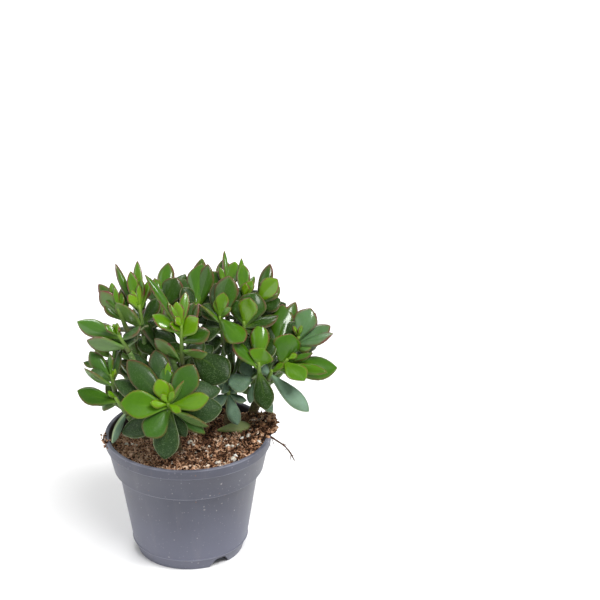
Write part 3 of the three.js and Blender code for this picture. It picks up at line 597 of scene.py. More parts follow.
# Grains of perlite and clods that stand out: x, y in the picture, size in millimetres.
GRAINS_SEEN = [
    (190, 443.5, 4.2), (194.5, 446.4, 3.6), (221, 437.5, 2.4), (232, 434, 1.8), (248.6, 436.8, 4.0),
    (242, 439.5, 2.6), (250.5, 431.2, 2.0), (207, 453, 3.2), (211.5, 457, 1.8), (195.7, 453.6, 1.8),
    (228.5, 447.3, 4.2), (233, 447.6, 2.8), (238, 446, 2.4), (233, 460, 4.6), (236, 457, 3.0),
    (218.5, 464.6, 4.6), (225, 464.3, 2.6), (259.3, 443.5, 3.6),
    (249.3, 414, 3.4), (209, 448, 2.2), (127, 446, 3.4), (133, 445.6, 2.6), (137, 446.4, 2.6),
    (172.5, 464, 2.2), (154, 452, 1.8), (143, 459, 1.8), (200, 462, 2.0), (179, 456, 1.6),
]
CLODS_SEEN = [
    (243.5, 455.6, 5.6), (230, 453, 5.4), (263.5, 425, 6.0), (256, 420, 5.6), (270, 421, 5.0),
    (272, 431, 4.6), (262, 435, 4.6), (251, 447, 4.2), (236, 452, 3.6), (266, 416, 4.6),
    (117, 437, 3.0), (123, 434, 3.4),
    (247, 424, 4.0), (240, 449, 3.2), (257, 440, 4.0), (224, 446, 3.0), (268, 437, 4.0),
]


def soil_height(x, y):
    height = SOIL_HEIGHT
    for centre_x, centre_y, rise, spread in (HEAP, SUNK):
        away = (x - centre_x) ** 2 + (y - centre_y) ** 2
        height += rise * math.exp(-away / spread ** 2)
    return height


def clumped(x, y):
    """How far the crumbs cling together here, from 0 in a gap to 1 on a clump."""
    broad = noise.noise(Vector((x, y, 0)) * BROAD_CLUMPS)
    small = noise.noise(Vector((x, y, 3 * MM)) * SMALL_CLUMPS)
    return min(1, max(0, 0.42 + 0.9 * broad + 0.5 * small))


def soil_seen_at(x, y):
    """The point of the soil's surface that the camera sees at x, y."""
    front, behind = -RIM_RADIUS / MM, RIM_RADIUS / MM
    for halving in range(20):
        middle = (front + behind) / 2
        point = seen_at(x, y, middle)
        if point.z > soil_height(point.x, point.y):
            front = middle
        else:
            behind = middle
    return seen_at(x, y, front)


def inside_wall(height):
    """The radius just inside the pot's collar at this height."""
    (low_radius, low), (high_radius, high) = COLLAR_FOOT, COLLAR_TOP
    share = min(1, max(0, (height - low) / (high - low)))
    return low_radius + (high_radius - low_radius) * share - WALL - GAP


def soil_reach(turn):
    """How far the soil reaches from the axis: to the wall, or over the rim where it is heaped."""
    beside = COLLAR_FOOT[0]
    inside = inside_wall(soil_height(beside * math.cos(turn), beside * math.sin(turn)) - MM)
    outside = RIM_RADIUS + SPILL
    height = soil_height(RIM_RADIUS * math.cos(turn), RIM_RADIUS * math.sin(turn))
    over = min(1, max(0, (height - POT_HEIGHT - GAP) / (2.5 * MM)))
    return inside + (outside - inside) * over


def bed_mesh():
    """The closed block of soil that fills the pot, with a rough surface."""
    bm = bmesh.new()
    inside = COLLAR_TOP[0] - WALL - GAP
    rings = [(inside * (1 - ring / SOIL_RINGS), POT_HEIGHT) for ring in range(SOIL_RINGS, -1, -1)]
    rings[-1] = (inside, POT_HEIGHT)
    side = [
        (inside, POT_HEIGHT - 0.5 * WALL),
        (inside - 2 * GAP, POT_HEIGHT - 2 * WALL),
        (inside - 3 * GAP, COLLAR_TOP[1] - 3 * WALL),
        (WALL_TOP_RADIUS - WALL - 2 * GAP, COLLAR_FOOT[1]),
        (WALL_FOOT_RADIUS - 3 * WALL, FLOOR_HEIGHT + WALL + GAP),
        (0, FLOOR_HEIGHT + WALL + GAP),
    ]
    turn_outline(bm, [*rings, *side], SOIL_STEPS)
    for vert in bm.verts:
        x, y, z = vert.co
        distance = math.hypot(x, y)
        turn = math.atan2(y, x)
        reach = soil_reach(turn)
        if z > POT_HEIGHT - 1.2 * WALL:
            share = distance / inside
            stretch = 1 + (reach / inside - 1) * share ** 4
            x, y = x * stretch, y * stretch
            under = POT_HEIGHT - z
            height = soil_height(x, y) - 2 * under
            height += BED_ROUGHNESS * noise.noise(Vector((x, y, 0)) * FINE_BED)
            height += BED_ROUGHNESS * noise.noise(Vector((x, y, 7 * MM)) * FINEST_BED)
            if reach > RIM_RADIUS and share > 0.95:
                height = max(height, POT_HEIGHT + GAP)
            vert.co = (x, y, height)
        elif z > COLLAR_FOOT[1] + MM:
            z = min(z, soil_height(x, y) - 3 * WALL - 0.3 * (POT_HEIGHT - z))
            shrink = min(1, (inside_wall(z) - GAP) / distance)
            vert.co = (x * shrink, y * shrink, z)
    bmesh.ops.recalc_face_normals(bm, faces=bm.faces)
    return bm


def layer_of(tree, name):
    """The value that the mesh carries at each of its points."""
    return add_node(tree, "ShaderNodeAttribute", {"attribute_name": name}).outputs["Fac"]


def soil_colour(name, stops, coarse, settings, left_light_tone=0.0):
    """A soil finish: each crumb's own "tone" picks its colour, with finer patches over it, and
    at the left it is painted paler, by the last argument, and more mottled, as painted light."""
    material, tree, shader = new_material(name, settings)
    place = object_place(tree)
    x = axis_of(tree, place, "X")
    # Painted light: paler towards the left.
    tone = plus(tree, layer_of(tree, "tone"), between(tree, x, PAINTED_LIGHT_X, 0, left_light_tone, 0.0))
    patches = cloud(tree, place, coarse, 4.0, 0.65)
    # Painted light: more mottled towards the left, as flecks of light.
    mottled = centred(tree, patches, between(tree, x, PAINTED_LIGHT_X, PAINTED_LIGHT_END_X, 3.6, 1.8))
    mixed = maths(tree, "ADD", tone, mottled, clamp=True)
    # At the left, the painted light is kept below the palest colours.
    mixed = maths(tree, "MINIMUM", mixed, between(tree, x, PAINTED_LIGHT_X, PAINTED_LIGHT_END_X, 0.80, 1.0))
    fine = cloud(tree, place, coarse * 3, 3.0, 0.7)
    rough = between(tree, fine, 0.2, 0.8, 0.75, 1.0)
    drive(tree, shader, {"Base Color": ramp(tree, mixed, stops), "Roughness": rough})
    relief(tree, fine, 0.5 * MM, 0.9, shader)
    return material


earth = soil_colour("soil_earth", [
    (0.0, paint(20, 12, 8)), (0.2, paint(82, 53, 38)), (0.45, paint(162, 119, 88)),
    (0.7, paint(218, 175, 142)), (1.0, paint(250, 234, 214)),
], 750.0, {"Specular IOR Level": 0.2}, 0.26)
perlite = soil_colour("perlite", [
    (0.0, paint(150, 140, 120)), (0.5, paint(206, 200, 184)), (1.0, paint(240, 238, 232)),
], 500.0, {"Specular IOR Level": 0.3})

soil_random = random.Random("potting soil")
bed = as_object("soil_bed", bed_mesh(), [earth])
settle(bed, "soil")


def random_turn(draw):
    """An even random turn."""
    axis = Vector((draw.gauss(0, 1), draw.gauss(0, 1), draw.gauss(0, 1))).normalized()
    return Quaternion(axis, draw.uniform(0, math.tau)).to_matrix().to_4x4()


def as_shape(bm, name):
    shape = bpy.data.meshes.new(name)
    bm.to_mesh(shape)
    bm.free()
    return shape


def crumb_shapes(subdivisions, unevenness, count, label):
    """Lumpy grains of about 1 across, as small meshes to copy."""
    shapes = []
    for index in range(count):
        bm = bmesh.new()
        bmesh.ops.create_icosphere(bm, subdivisions=subdivisions, radius=0.5)
        for vert in bm.verts:
            lump = noise.noise(vert.co * 3.1 + Vector((index * 5.3, 0, 0)))
            vert.co *= 1 + unevenness * lump
        shapes.append(as_shape(bm, f"{label}_{index}"))
    return shapes


def chip_shapes(count, sides, steps, label):
    """Curled slivers of husk of about 1 long, as small meshes to copy."""
    shapes = []
    for index in range(count):
        bm = bmesh.new()
        curl = soil_random.uniform(0.6, 3.2)
        bmesh.ops.create_cone(
            bm, cap_ends=True, segments=sides, radius1=0.12, radius2=0.07, depth=1.0)
        bmesh.ops.subdivide_edges(
            bm, edges=[e for e in bm.edges if abs(e.verts[0].co.z - e.verts[1].co.z) > 0.5],
            cuts=steps, use_grid_fill=True,
        )
        for vert in bm.verts:
            bend = vert.co.z * curl
            out = 1 / curl + vert.co.x
            vert.co.x = out * math.cos(bend) - 1 / curl
            vert.co.y = vert.co.y * 0.45 + 0.08 * math.sin(bend * 2 + index)
            vert.co.z = out * math.sin(bend)
        shapes.append(as_shape(bm, f"{label}_{index}"))
    return shapes


def scattered(name, shapes, places, material):
    """Copies of the shapes, each with its place, its turn and size, and its tone, as one piece."""
    whole = bmesh.new()
    batch = 60
    for start in range(0, len(places), batch):
        part = bmesh.new()
        tone_layer = part.verts.layers.float.new("tone")
        for number, (place, turn, tone) in enumerate(places[start:start + batch]):
            before = len(part.verts)
            part.from_mesh(shapes[(start + number) % len(shapes)])
            part.verts.ensure_lookup_table()
            added = part.verts[before:]
            bmesh.ops.transform(part, matrix=Matrix.Translation(place) @ turn, verts=added)
            for vert in added:
                vert[tone_layer] = tone
        joined = as_shape(part, "batch")
        whole.from_mesh(joined)
        bpy.data.meshes.remove(joined)
    settle(as_object(name, whole, [material]))


def on_soil(draw, size):
    """A random point of the surface, also on the heap's part over the rim, where a crumb of
    this size doesn't reach into the wall."""
    while True:
        x = draw.uniform(-1, 1) * (RIM_RADIUS + SPILL)
        y = draw.uniform(-1, 1) * (RIM_RADIUS + SPILL)
        distance = math.hypot(x, y)
        reach = soil_reach(math.atan2(y, x))
        if distance < reach - (0.3 * MM if reach > RIM_RADIUS else 0.55 * size):
            return Vector((x, y, soil_height(x, y)))


def odd_size(sizes, rarity, draw):
    """A random size, of which the large are the rarer the higher the rarity."""
    least, more = sizes
    return least + more * draw.random() ** rarity


def heaped(draw, size, low, high):
    """A random place for a crumb of this size, between low and high millimetres over the soil,
    and more where crumbs cling together; also how far they do."""
    place = on_soil(draw, size)
    clump = clumped(place.x, place.y)
    place.z += draw.uniform(low, high) * MM + CLUMPS * clump * draw.random()
    return place, clump


def sized(size, flat, draw):
    stretch = Matrix.Diagonal((size, size * draw.uniform(0.6, 1), size * flat, 1))
    return random_turn(draw) @ stretch


def round_pot(radius, turn, height):
    return Vector((radius * math.cos(turn), radius * math.sin(turn), height))


crumbs = []
for crumb in range(CRUMBS):
    size = odd_size(CRUMB_SIZE, 3, soil_random)
    place, clump = heaped(soil_random, size, -0.3, 0.8)
    shape = sized(size, soil_random.uniform(0.5, 1), soil_random)
    # Painted shade: a crumb's tone is lower in the gaps between clumps, so the gaps are painted darker.
    crumbs.append((place, shape, soil_random.betavariate(2.2, 2.6) * (0.28 + 0.95 * clump)))
for x, y, size in CLODS_SEEN:
    shape = sized(size * MM, 0.8, soil_random)
    crumbs.append((soil_seen_at(x, y), shape, soil_random.uniform(0.35, 0.65)))
for crumb in range(RIM_CLUMP["count"]):
    turn = math.radians(soil_random.gauss(*RIM_CLUMP["turn"]))
    reach = RIM_RADIUS + soil_random.gauss(*RIM_CLUMP["reach"]) * MM
    height = POT_HEIGHT + soil_random.uniform(*RIM_CLUMP["height"]) * MM
    shape = sized(soil_random.uniform(*RIM_CLUMP["size"]) * MM, 0.8, soil_random)
    crumbs.append((round_pot(reach, turn, height), shape, soil_random.uniform(*RIM_CLUMP["tone"])))
for crumb in range(SPILLED["count"]):
    turn = math.radians(soil_random.uniform(*SPILLED["turn"]))
    reach = soil_reach(turn)
    if reach > RIM_RADIUS:
        place = round_pot(reach + soil_random.gauss(*SPILLED["reach"]) * MM, turn, 0)
        place.z = max(POT_HEIGHT + MM, soil_height(place.x, place.y))
        place.z += soil_random.uniform(*SPILLED["height"]) * MM
        shape = sized(soil_random.uniform(*SPILLED["size"]) * MM, 0.7, soil_random)
        crumbs.append((place, shape, soil_random.uniform(*SPILLED["tone"])))
scattered("soil_crumbs", crumb_shapes(1, 0.5, 14, "crumb"), crumbs, earth)

chips = []
for chip in range(CHIPS):
    size = odd_size(CHIP_SIZE, 2, soil_random)
    place, clump = heaped(soil_random, size, 0.1, 1.0)
    tilt = Quaternion(RIGHT, soil_random.gauss(0, 0.5)) @ Quaternion(NEAR, soil_random.gauss(0, 0.5))
    lying = Matrix.Rotation(soil_random.uniform(0, math.tau), 4, "Z") @ tilt.to_matrix().to_4x4()
    shape = lying @ Matrix.Rotation(math.pi / 2, 4, "X") @ Matrix.Scale(size, 4)
    # Painted shade: a chip's tone is lower in the gaps between clumps, so the gaps are painted darker.
    chips.append((place, shape, soil_random.betavariate(2.6, 2.2) * (0.32 + 0.92 * clump)))
scattered("soil_chips", chip_shapes(12, 4, 3, "chip"), chips, earth)

grains = []
for grain in range(GRAINS):
    size = odd_size(GRAIN_SIZE, 2, soil_random)
    place = on_soil(soil_random, size) + Vector((0, 0, soil_random.uniform(0.3, 1.0) * MM))
    grains.append((place, sized(size, 0.8, soil_random), soil_random.uniform(0.1, 0.9)))
for x, y, size in GRAINS_SEEN:
    place = soil_seen_at(x, y) + Vector((0, 0, 0.8 * MM))
    shape = sized(1.05 * size * MM, 0.7, soil_random)
    grains.append((place, shape, soil_random.uniform(0.5, 0.9)))
scattered("perlite_grains", crumb_shapes(2, 0.9, 9, "grain"), grains, perlite)


# ---- The plant's growth ------------------------------------------------------------------
# The five stems are rooted in the soil and fork near their tops, and each branch carries a
# green shoot with its leaves in crossed pairs. These rows say where each piece grew, and the
# sections after this one make the stems and the leaves from them.
# Stems: name, root x, y on the soil, fork x, y, z in millimetres, radius at the root.
STEMS = [
    ["front", [-8, -10], [-9, -19, 108], 4.2],
    ["left", [-28, 10], [-38, 6, 122], 4.4],
    ["middle", [-4, 16], [-4, 16, 126], 4.8],
    ["right", [28, 20], [34, 16, 124], 4.6],
    ["far_right", [40, 30], [56, 22, 118], 4.2],
]
# Shoots that the picture shows: name, stem, growing tip [x, y, back], direction, length, and
# leaves [down from the tip, tip x, tip y, near, width, show, age]. A leaf with a high show
# turns its upper face to the eye, and one with a low show its edge or its back.
SHOOTS = [
    ["front_rosette", "front", [168, 403, -42], [-0.1, 0.45, 0.88], 15, [
      [1, 161, 394, 5, 5, 0.5, 0], [1, 174, 391, 6, 5, 0.5, 0], [2, 150, 403, 6, 6.5, 0.5, 0],
      [2, 181.5, 413, 7, 6, 0.8, 0], [3, 183, 379.5, 8, 7, -0.9, 0.15], [3, 158, 379, 5, 12, 1, 0.1],
      [5, 120.5, 403, 7, 20, 1, 0.26], [5, 210.5, 398, 8, 13.5, 1, 0.1],
      [8, 193, 364, -1, 19, 1, 0.48], [8, 146, 437, 11, 18, 1, 0.56],
      [10, 127.5, 360, -3, 17, 1, 0.65], [10, 210, 424, 7, 12, -1.2, 0.5],
      [12, 164, 459, 4, 18, 1, 0.9], [13, 114, 381, -5, 14, 1, 0.8], [13, 222, 408, -2, 19, 1, 0.95],
      [14, 121, 433, -2, 15, 1, 0.9], [15, 186, 437, 0, 9, 1, 0.85], [2, 169, 383, 2, 7, 1, 0.05]]],
    ["front_rosette_back", "front", [166, 388, -29], [0.1, 0.8, 0.6], 14, [
      [1, 168, 362, -4, 5, 1, 0.2], [2, 165, 368, -3, 12, 1, 0.5], [4, 155, 350, -6, 15, 1, 0.7],
      [6, 221, 388, -5, 16, 1, 0.85], [7, 131, 351, -12, 13, 1, 0.85], [12, 205, 434, 0, 11, 1, 0.6],
      [10, 141, 360, -12, 12, 1, 0.9], [10, 196, 372, -12, 14, 1, 0.95]]],
    ["upper_middle", "middle", [181, 325, -14], [0, 0.86, 0.5], 33, [
      [1, 175.5, 317, 5, 6.5, 0.8, 0], [1, 168, 302, 0, 4, 0.4, 0], [2, 170.5, 304, 3, 4, 0.4, 0],
      [3, 176.5, 302, -1, 9.5, 1, 0.1], [5, 170, 324, 8, 8, 0.8, 0.1],
      [4, 186, 291.5, -7, 7.5, 1, 0.1], [10, 199, 318, 7, 15, 1, 0.15],
      [7, 153, 314, 3, 13, 0.6, 0.25], [10, 193.5, 302, -6, 11, 1, 0.6],
      [8, 145.5, 274, 4, 7, 0.5, 0.3], [11, 199, 304, -3, 8, 0.2, 0.6],
      [14, 210, 332, 5, 13, 1, 0.55], [12, 164, 308, -5, 9, 1, 0.4],
      [31, 155, 338, 7, 11, -1.6, 0.4], [21, 207, 354, 8, 10, -1.2, 0.3],
      [30, 170, 343, 4, 13, 1, 0.75], [24, 154, 330, -8, 13, 1, 0.85],
      [26, 204, 342, -8, 13, 1, 0.9]]],
    ["middle_left", "middle", [160, 350, -4], [0, 0.86, 0.5], 12, [
      [4, 139.5, 315, 6, 8, 0.3, 0.7], [2, 151, 326, -3, 10, 0.6, 0.8],
      [5, 172, 330, -5, 12, 1, 0.85], [6, 138, 338, -3, 11, 1, 0.85], [3, 161, 330, -2, 7, 1, 0.6]]],
    ["upper_left", "left", [139, 305, 0], [-0.1, 0.86, 0.5], 24, [
      [1, 131.5, 290, -1, 4.5, 1, 0], [1, 138.5, 284, 1, 4.5, 0.8, 0],
      [4, 128, 294.5, 5, 7.5, 1, 0.05], [3, 141.5, 278, -1, 6, -0.3, 0.2],
      [4, 137.5, 261, -8, 7, 0.7, 0.2], [5, 130.5, 271, -1, 8, 0.8, 0.25],
      [4, 134, 274, -3, 5, 0.8, 0.1], [6, 151, 278, -2, 6, 0.8, 0.15],
      [5, 155, 279, -4, 5, 0.5, 0.3], [19, 116.5, 301.5, 10, 15, -0.9, 0.36],
      [9, 115.5, 262.5, -4, 6, 0.9, 0.45], [16, 158, 298, -6, 10, 1, 0.75],
      [18, 144, 326, 4, 7, 0.2, 0.8], [20, 154, 318, -6, 11, 1, 0.85],
      [21, 133, 330, -5, 12, 1, 0.85]]],
    ["upper_left_side", "left", [118, 308, 2], [-0.3, 0.84, 0.45], 20, [
      [2, 111, 282.5, -1, 6, -0.3, 0.2], [2, 114.5, 287, 1, 4.5, 0.6, 0.1],
      [4, 98.5, 284, -2, 9, 0.4, 0.5], [9, 101, 290, 3, 12, -1.2, 0.5],
      [10, 104.5, 303, 2, 9, 0.2, 0.7], [12, 122, 288, -7, 8, 1, 0.6],
      [6, 121, 292, -2, 5, 1, 0.1]]],
    ["left_side", "left", [118, 334, -8], [-0.45, 0.8, 0.4], 16, [
      [1, 117.5, 323, 5, 7, 0.4, 0.1], [2, 104.5, 325.5, 2, 5, 0.3, 0.1],
      [1, 113, 324, -3, 4, 1, 0.1], [4, 77, 321.5, -8, 13.5, 1, 0.3], [5, 140.5, 326, 2, 8, 0.4, 0.7],
      [12, 86.5, 339.5, 7, 13, -1.6, 0.45], [8, 100, 322.5, -9, 8, 1, 0.6],
      [12, 133, 331, -6, 11, 1, 0.8], [12, 104, 336, -4, 6, 0.3, 0.5]]],
    ["left_low", "left", [111, 374, -14], [-0.15, 0.86, 0.48], 14, [
      [1, 110, 354, 0, 5, -0.2, 0.35], [3, 90, 351, 0, 11, 1, 0.45], [4, 116, 369, 5, 4, 0.5, 0.1],
      [6, 91, 370, 5, 10, 0.9, 0.75], [10, 84, 368.5, 10, 9, -0.9, 0.35],
      [7, 119.5, 352, -3, 5.5, 0.2, 0.7]]],
    ["left_lowest", "left", [115, 397, -22], [-0.5, 0.8, 0.3], 16, [
      [1, 108, 391, 3, 4, 0.3, 0.1], [4, 77.5, 391.5, -6, 13, 0.9, 0.5],
      [8, 124, 384, -8, 10, 1, 0.6], [14, 111, 443, 6, 9.5, -1, 0.95]]],
    ["back_left_tall", "middle", [161, 300, 22], [-0.05, 0.86, 0.48], 20, [
      [1, 158, 279, -8, 7, 1, 0.3], [2, 168, 261.5, -10, 12.5, 0.8, 0.4],
      [3, 154.5, 278, -4, 7, 0.6, 0.4], [8, 176, 277.5, 3, 17, 1, 0.65],
      [5, 147, 284, -6, 10, 1, 0.6], [7, 185, 273, -12, 13, 1, 0.75], [12, 147, 306, 3, 14, 1, 0.85],
      [12, 180, 300, 2, 15, 1, 0.85], [14, 163, 304, 4, 14, 1, 0.9]]],
    ["top_left", "middle", [196, 304, 20], [0, 0.88, 0.47], 20, [
      [1, 194, 284, -6, 9, 1, 0.6], [2, 202, 263.5, -9, 18.5, 0.7, 0.3],
      [3, 178, 278, -6, 15, 1, 0.75], [3, 202, 258, -17, 12, 1, 0.5], [5, 182, 288, 3, 12, 0.6, 0.8],
      [5, 208, 264, -3, 13, 1, 0.6], [10, 212, 296, 0, 15, 1, 0.8], [13, 186, 305, 2, 16, 1, 0.9],
      [15, 204, 314, 2, 15, 1, 0.9]]],
    ["top_middle", "right", [227, 290, 34], [0, 0.88, 0.47], 24, [
      [1, 219.5, 267, -2, 6, 1, 0.1], [1, 226.4, 250, -5, 4, -0.6, 0.3],
      [3, 223, 259.5, -9, 13, 0.7, 0.34], [3, 235, 261.5, -6, 12, 1, 0.2],
      [5, 211, 272, -5, 13, 1, 0.6],
      [10, 210, 294, 2, 15, 1, 0.85], [10, 242, 288, -8, 14, 1, 0.85],
      [14, 226, 296, 4, 14, 1, 0.9]]],
    ["top_right", "right", [244, 295, 22], [0, 0.88, 0.47], 20, [
      [1, 247, 280, -6, 5, 1, 0], [2, 242.5, 264, -8, 10, 1, 0.25],
      [2, 241.5, 258, -16, 5, 0.2, 0.3], [2, 245.5, 283, 3, 7, 1, 0.1],
      [3, 252.5, 280.5, -1, 8, 1, 0.1], [3, 254.3, 275.5, -12, 6, 0.2, 0.4],
      [9, 232, 292, 3, 13, 1, 0.8], [9, 258, 290, -6, 13, 1, 0.8], [13, 246, 300, 0, 14, 1, 0.85]]],
    ["middle_high", "middle", [220, 316, 8], [-0.1, 0.88, 0.46], 24, [
      [1, 224.3, 292, 2, 10, 1, 0.12], [1, 215.5, 300, -3, 6, 1, 0.1],
      [4, 215.5, 283, -5, 10.5, 0.2, 0.75], [2, 229, 276, 3, 18, 1, 0.62],
      [2, 232, 308, 5, 6.5, 1, 0.2], [5, 203, 304, -2, 13, 1, 0.75],
      [2, 244, 342, 14, 17, 0.9, 0.35], [6, 197, 304, 2, 9, -0.6, 0.45],
      [10, 198, 333, -3, 15, 1, 0.85], [12, 241, 326, -10, 15, 1, 0.9],
      [14, 210, 318, -6, 15, 1, 0.9], [20, 234, 350, -6, 13, 1, 0.95],
      [20, 208, 342, -4, 13, 1, 0.95]]],
    ["right_high", "right", [244, 321, 4], [0, 0.88, 0.46], 18, [
      [1, 248, 306, -4, 5, 1, 0], [4, 250.5, 297, 12, 14.5, 1, 0.08],
      [4, 256, 292.5, -2, 20, 0.8, 0.7], [3, 236, 300, -4, 12, 1, 0.75],
      [5, 278.5, 316.5, -3, 11, 0.8, 0.7], [9, 226, 334, -4, 13, 1, 0.9],
      [8, 270, 332, -4, 14, 1, 0.9], [11, 244, 318, -6, 17, 1, 0.9], [13, 240, 338, -8, 14, 1, 0.95],
      [13, 262, 318, -10, 16, 1, 0.9]]],
    ["right_back_high", "right", [257, 302, 22], [0.1, 0.86, 0.48], 18, [
      [1, 264, 285, -4, 6, 1, 0.1], [1, 278, 279, 4, 14, 1, 0.15], [2, 270, 263.5, -6, 10, 0.8, 0.5],
      [3, 279.5, 286, -6, 12, 1, 0.4], [6, 280, 299, 1, 15, 1, 0.75], [9, 258, 292, -6, 14, 1, 0.85],
      [10, 286, 304, -7, 13, 1, 0.85], [11, 270, 304, 2, 15, 1, 0.9]]],
    ["right_glossy", "far_right", [280, 342, 2], [0.35, 0.82, 0.45], 16, [
      [2, 286, 328, -8, 6, 1, 0.3], [5, 283, 303.5, -10, 18, 0.6, 0.42],
      [2, 296, 301, -14, 11, 1, 0.5], [4, 266, 316, -10, 15, 1, 0.85], [5, 298, 322, -6, 14, 1, 0.85],
      [9, 268, 338, -8, 14, 1, 0.9], [9, 298, 340, -8, 13, 1, 0.9]]],
    ["right_pale", "far_right", [299, 336, 6], [0.35, 0.82, 0.44], 20, [
      [1, 292.5, 326, 4, 3.5, 0.5, 0], [1, 301, 324.5, 5, 4, 0.5, 0], [5, 311, 308, -2, 17, 1, 0.4],
      [6, 315, 313, -9, 12, 1, 0.6], [8, 330.5, 326, -3, 13, 1, 0.55],
      [9, 333, 333.5, 12, 12, 0.5, 0.45], [11, 311.5, 347.5, 9, 8, 0.8, 0.3],
      [14, 318, 338, -8, 12, 1, 0.8], [14, 312, 352, -4, 8, 1, 0.7]]],
    ["right_low", "far_right", [288, 359, -6], [0.6, 0.6, 0.5], 17, [
      [1, 297, 354, 2, 5, 1, 0.1], [8, 291, 333.5, 4, 21, 0.6, 0.3],
      [4, 304.5, 381.5, 14, 16, 2, 0.25], [6, 313, 353, 2, 5, 0.2, 0.5],
      [11, 338, 366, -6, 19, 0.8, 0.45], [9, 327, 371.5, 9, 8, 1.5, 0.35],
      [12, 308, 374, -6, 12, 1, 0.85]]],
    ["centre_right", "right", [259, 362, -12], [0, 0.86, 0.5], 14, [
      [1, 260.5, 323, -3, 14, 1, 0.3], [3, 264, 348.5, 4, 19, 1.5, 0.15],
      [6, 233, 340, 6, 12, 0.4, 0.3], [3, 243, 336, -8, 11, 1, 0.9],
      [8, 267.5, 409, 6, 14.5, 1, 0.78], [5, 272, 338, -8, 12, 1, 0.9],
      [11, 254, 374, -6, 9, 1, 0.85]]],
    ["hanging_right", "far_right", [272, 370, -6], [0.3, 0.8, 0.5], 9, [
      [2, 284, 363, 3, 5, 1, 0.2], [4, 310, 410, 4, 14, 0.9, 0.9], [6, 256, 358, -9, 10, 1, 0.9]]],
    ["hanging_middle", "right", [254, 376, -5], [0.1, 0.86, 0.5], 8, [
      [1, 228, 384, 5, 17, 1, 0.9], [4, 272, 412.5, -3, 10, 1, 0.9], [5, 250, 403.5, 0, 6, 0.4, 0.8],
      [3, 242, 362, -2, 10, 1, 0.9], [5, 262, 366, -6, 10, 1, 0.85]]],
    ["big_round_leaf", "middle", [192, 350, -4], [0, 0.86, 0.5], 10, [
      [2, 228, 380, 8, 24, 1, 0.9], [4, 178, 352, -3, 12, 1, 0.8], [5, 213, 346, -6, 13, 1, 0.9]]],
    ["low_grey_leaves", "right", [229, 390, -2], [0.1, 0.86, 0.5], 9, [
      [1, 223, 386, 3, 10, 1, 0.95], [3, 238, 425, 3, 10, 1, 0.95], [4, 247, 400, 0, 7, 0.3, 0.85],
      [4, 213, 405, 0, 10, 1, 0.9], [5, 245, 377, -5, 11, 1, 0.9], [6, 222, 372, -6, 12, 1, 0.95]]],
]
# Shoots that the picture hides: name, stem, growing tip [x, y, z], direction, length, pairs of
# leaves, length of the oldest, turn of the first pair in degrees.
HIDDEN_SHOOTS = [
    ["back_left_high", "left", [-30, 40, 172], [-0.25, 0.35, 1], 22, 4, 27, 20],
    ["back_middle_high", "middle", [4, 52, 176], [0, 0.35, 1], 24, 4, 28, 60],
    ["back_right_high", "right", [40, 56, 172], [0.2, 0.4, 1], 24, 4, 27, 10],
    ["back_left_side", "left", [-58, 24, 146], [-0.7, 0.3, 0.8], 18, 4, 27, 75],
    ["back_right_side", "far_right", [78, 34, 148], [0.6, 0.4, 0.9], 20, 4, 26, 35],
    ["back_left_low", "left", [-40, 50, 128], [-0.5, 0.7, 0.7], 18, 4, 27, 50],
    ["back_middle_low", "middle", [2, 68, 134], [0.1, 0.9, 0.6], 18, 4, 28, 15],
    ["back_right_low", "right", [44, 66, 128], [0.4, 0.9, 0.5], 18, 4, 27, 80],
    ["back_left_foot", "left", [-58, 18, 112], [-0.8, 0.4, 0.4], 14, 3, 24, 10],
    ["inner_middle", "middle", [14, 40, 140], [0.3, 0.6, 1], 18, 3, 26, 40],
    ["right_side_low", "far_right", [74, 44, 126], [0.7, 0.5, 0.6], 16, 3, 24, 20],
    ["inner_front_left", "left", [-38, 10, 138], [-0.1, 0.2, 1], 16, 3, 26, 30],
    ["inner_centre_low", "middle", [-10, 28, 138], [-0.1, 0.3, 1], 16, 3, 27, 50],
    ["inner_centre_high", "middle", [6, 36, 156], [0.1, 0.3, 1], 18, 3, 27, 10],
    ["inner_upper_left", "left", [-34, 26, 150], [-0.1, 0.3, 1], 18, 3, 26, 45],
    ["inner_upper_right", "right", [46, 38, 154], [0.1, 0.3, 1], 18, 3, 27, 25],
    ["inner_front_right", "right", [28, 8, 134], [0, 0.2, 1], 14, 3, 25, 65],
    ["inner_far_right", "far_right", [62, 18, 136], [0.2, 0.2, 1], 16, 3, 25, 5],
]
OPEN = (16, 19)  # how far each older pair leans out, in degrees: the first, and each next
GROWN = (0.34, 0.24)  # each older pair's length, as a share of the oldest
SLENDER = 0.52  # a leaf's width as a share of its length
BUD = 1.5 * MM  # from the growing tip down to its first pair
BARE = 4 * MM  # of the axis, below its last pair
SHADED_AGE = 0.62  # the least age of a leaf on an inner shoot: it paints those leaves dark as painted shade inside the crown, and shapes them as old leaves


def facing_of(base, tip, axis, show):
    """The upper face looks the way that the shoot grows, and "show" turns it to the eye."""
    along = (tip - base).normalized()
    facing = axis + NEAR * show
    return (facing - along * facing.dot(along)).normalized()


def seen_shoot(row):
    name, stem, (x, y, back), (right, up, near), length, rows = row
    tip = seen_at(x, y, back)
    axis = (RIGHT * right + UP * up + NEAR * near).normalized()
    leaves = []
    for down, leaf_x, leaf_y, leaf_near, width, show, age in rows:
        base = tip - axis * down * MM
        end = seen_near(leaf_x, leaf_y, base, leaf_near)
        facing = facing_of(base, end, axis, show)
        leaves.append({"base": base, "tip": end, "width": width * MM, "age": age, "facing": facing})
    foot = tip - axis * length * MM
    return {"name": name, "stem": stem, "tip": tip, "foot": foot, "axis": axis, "leaves": leaves}


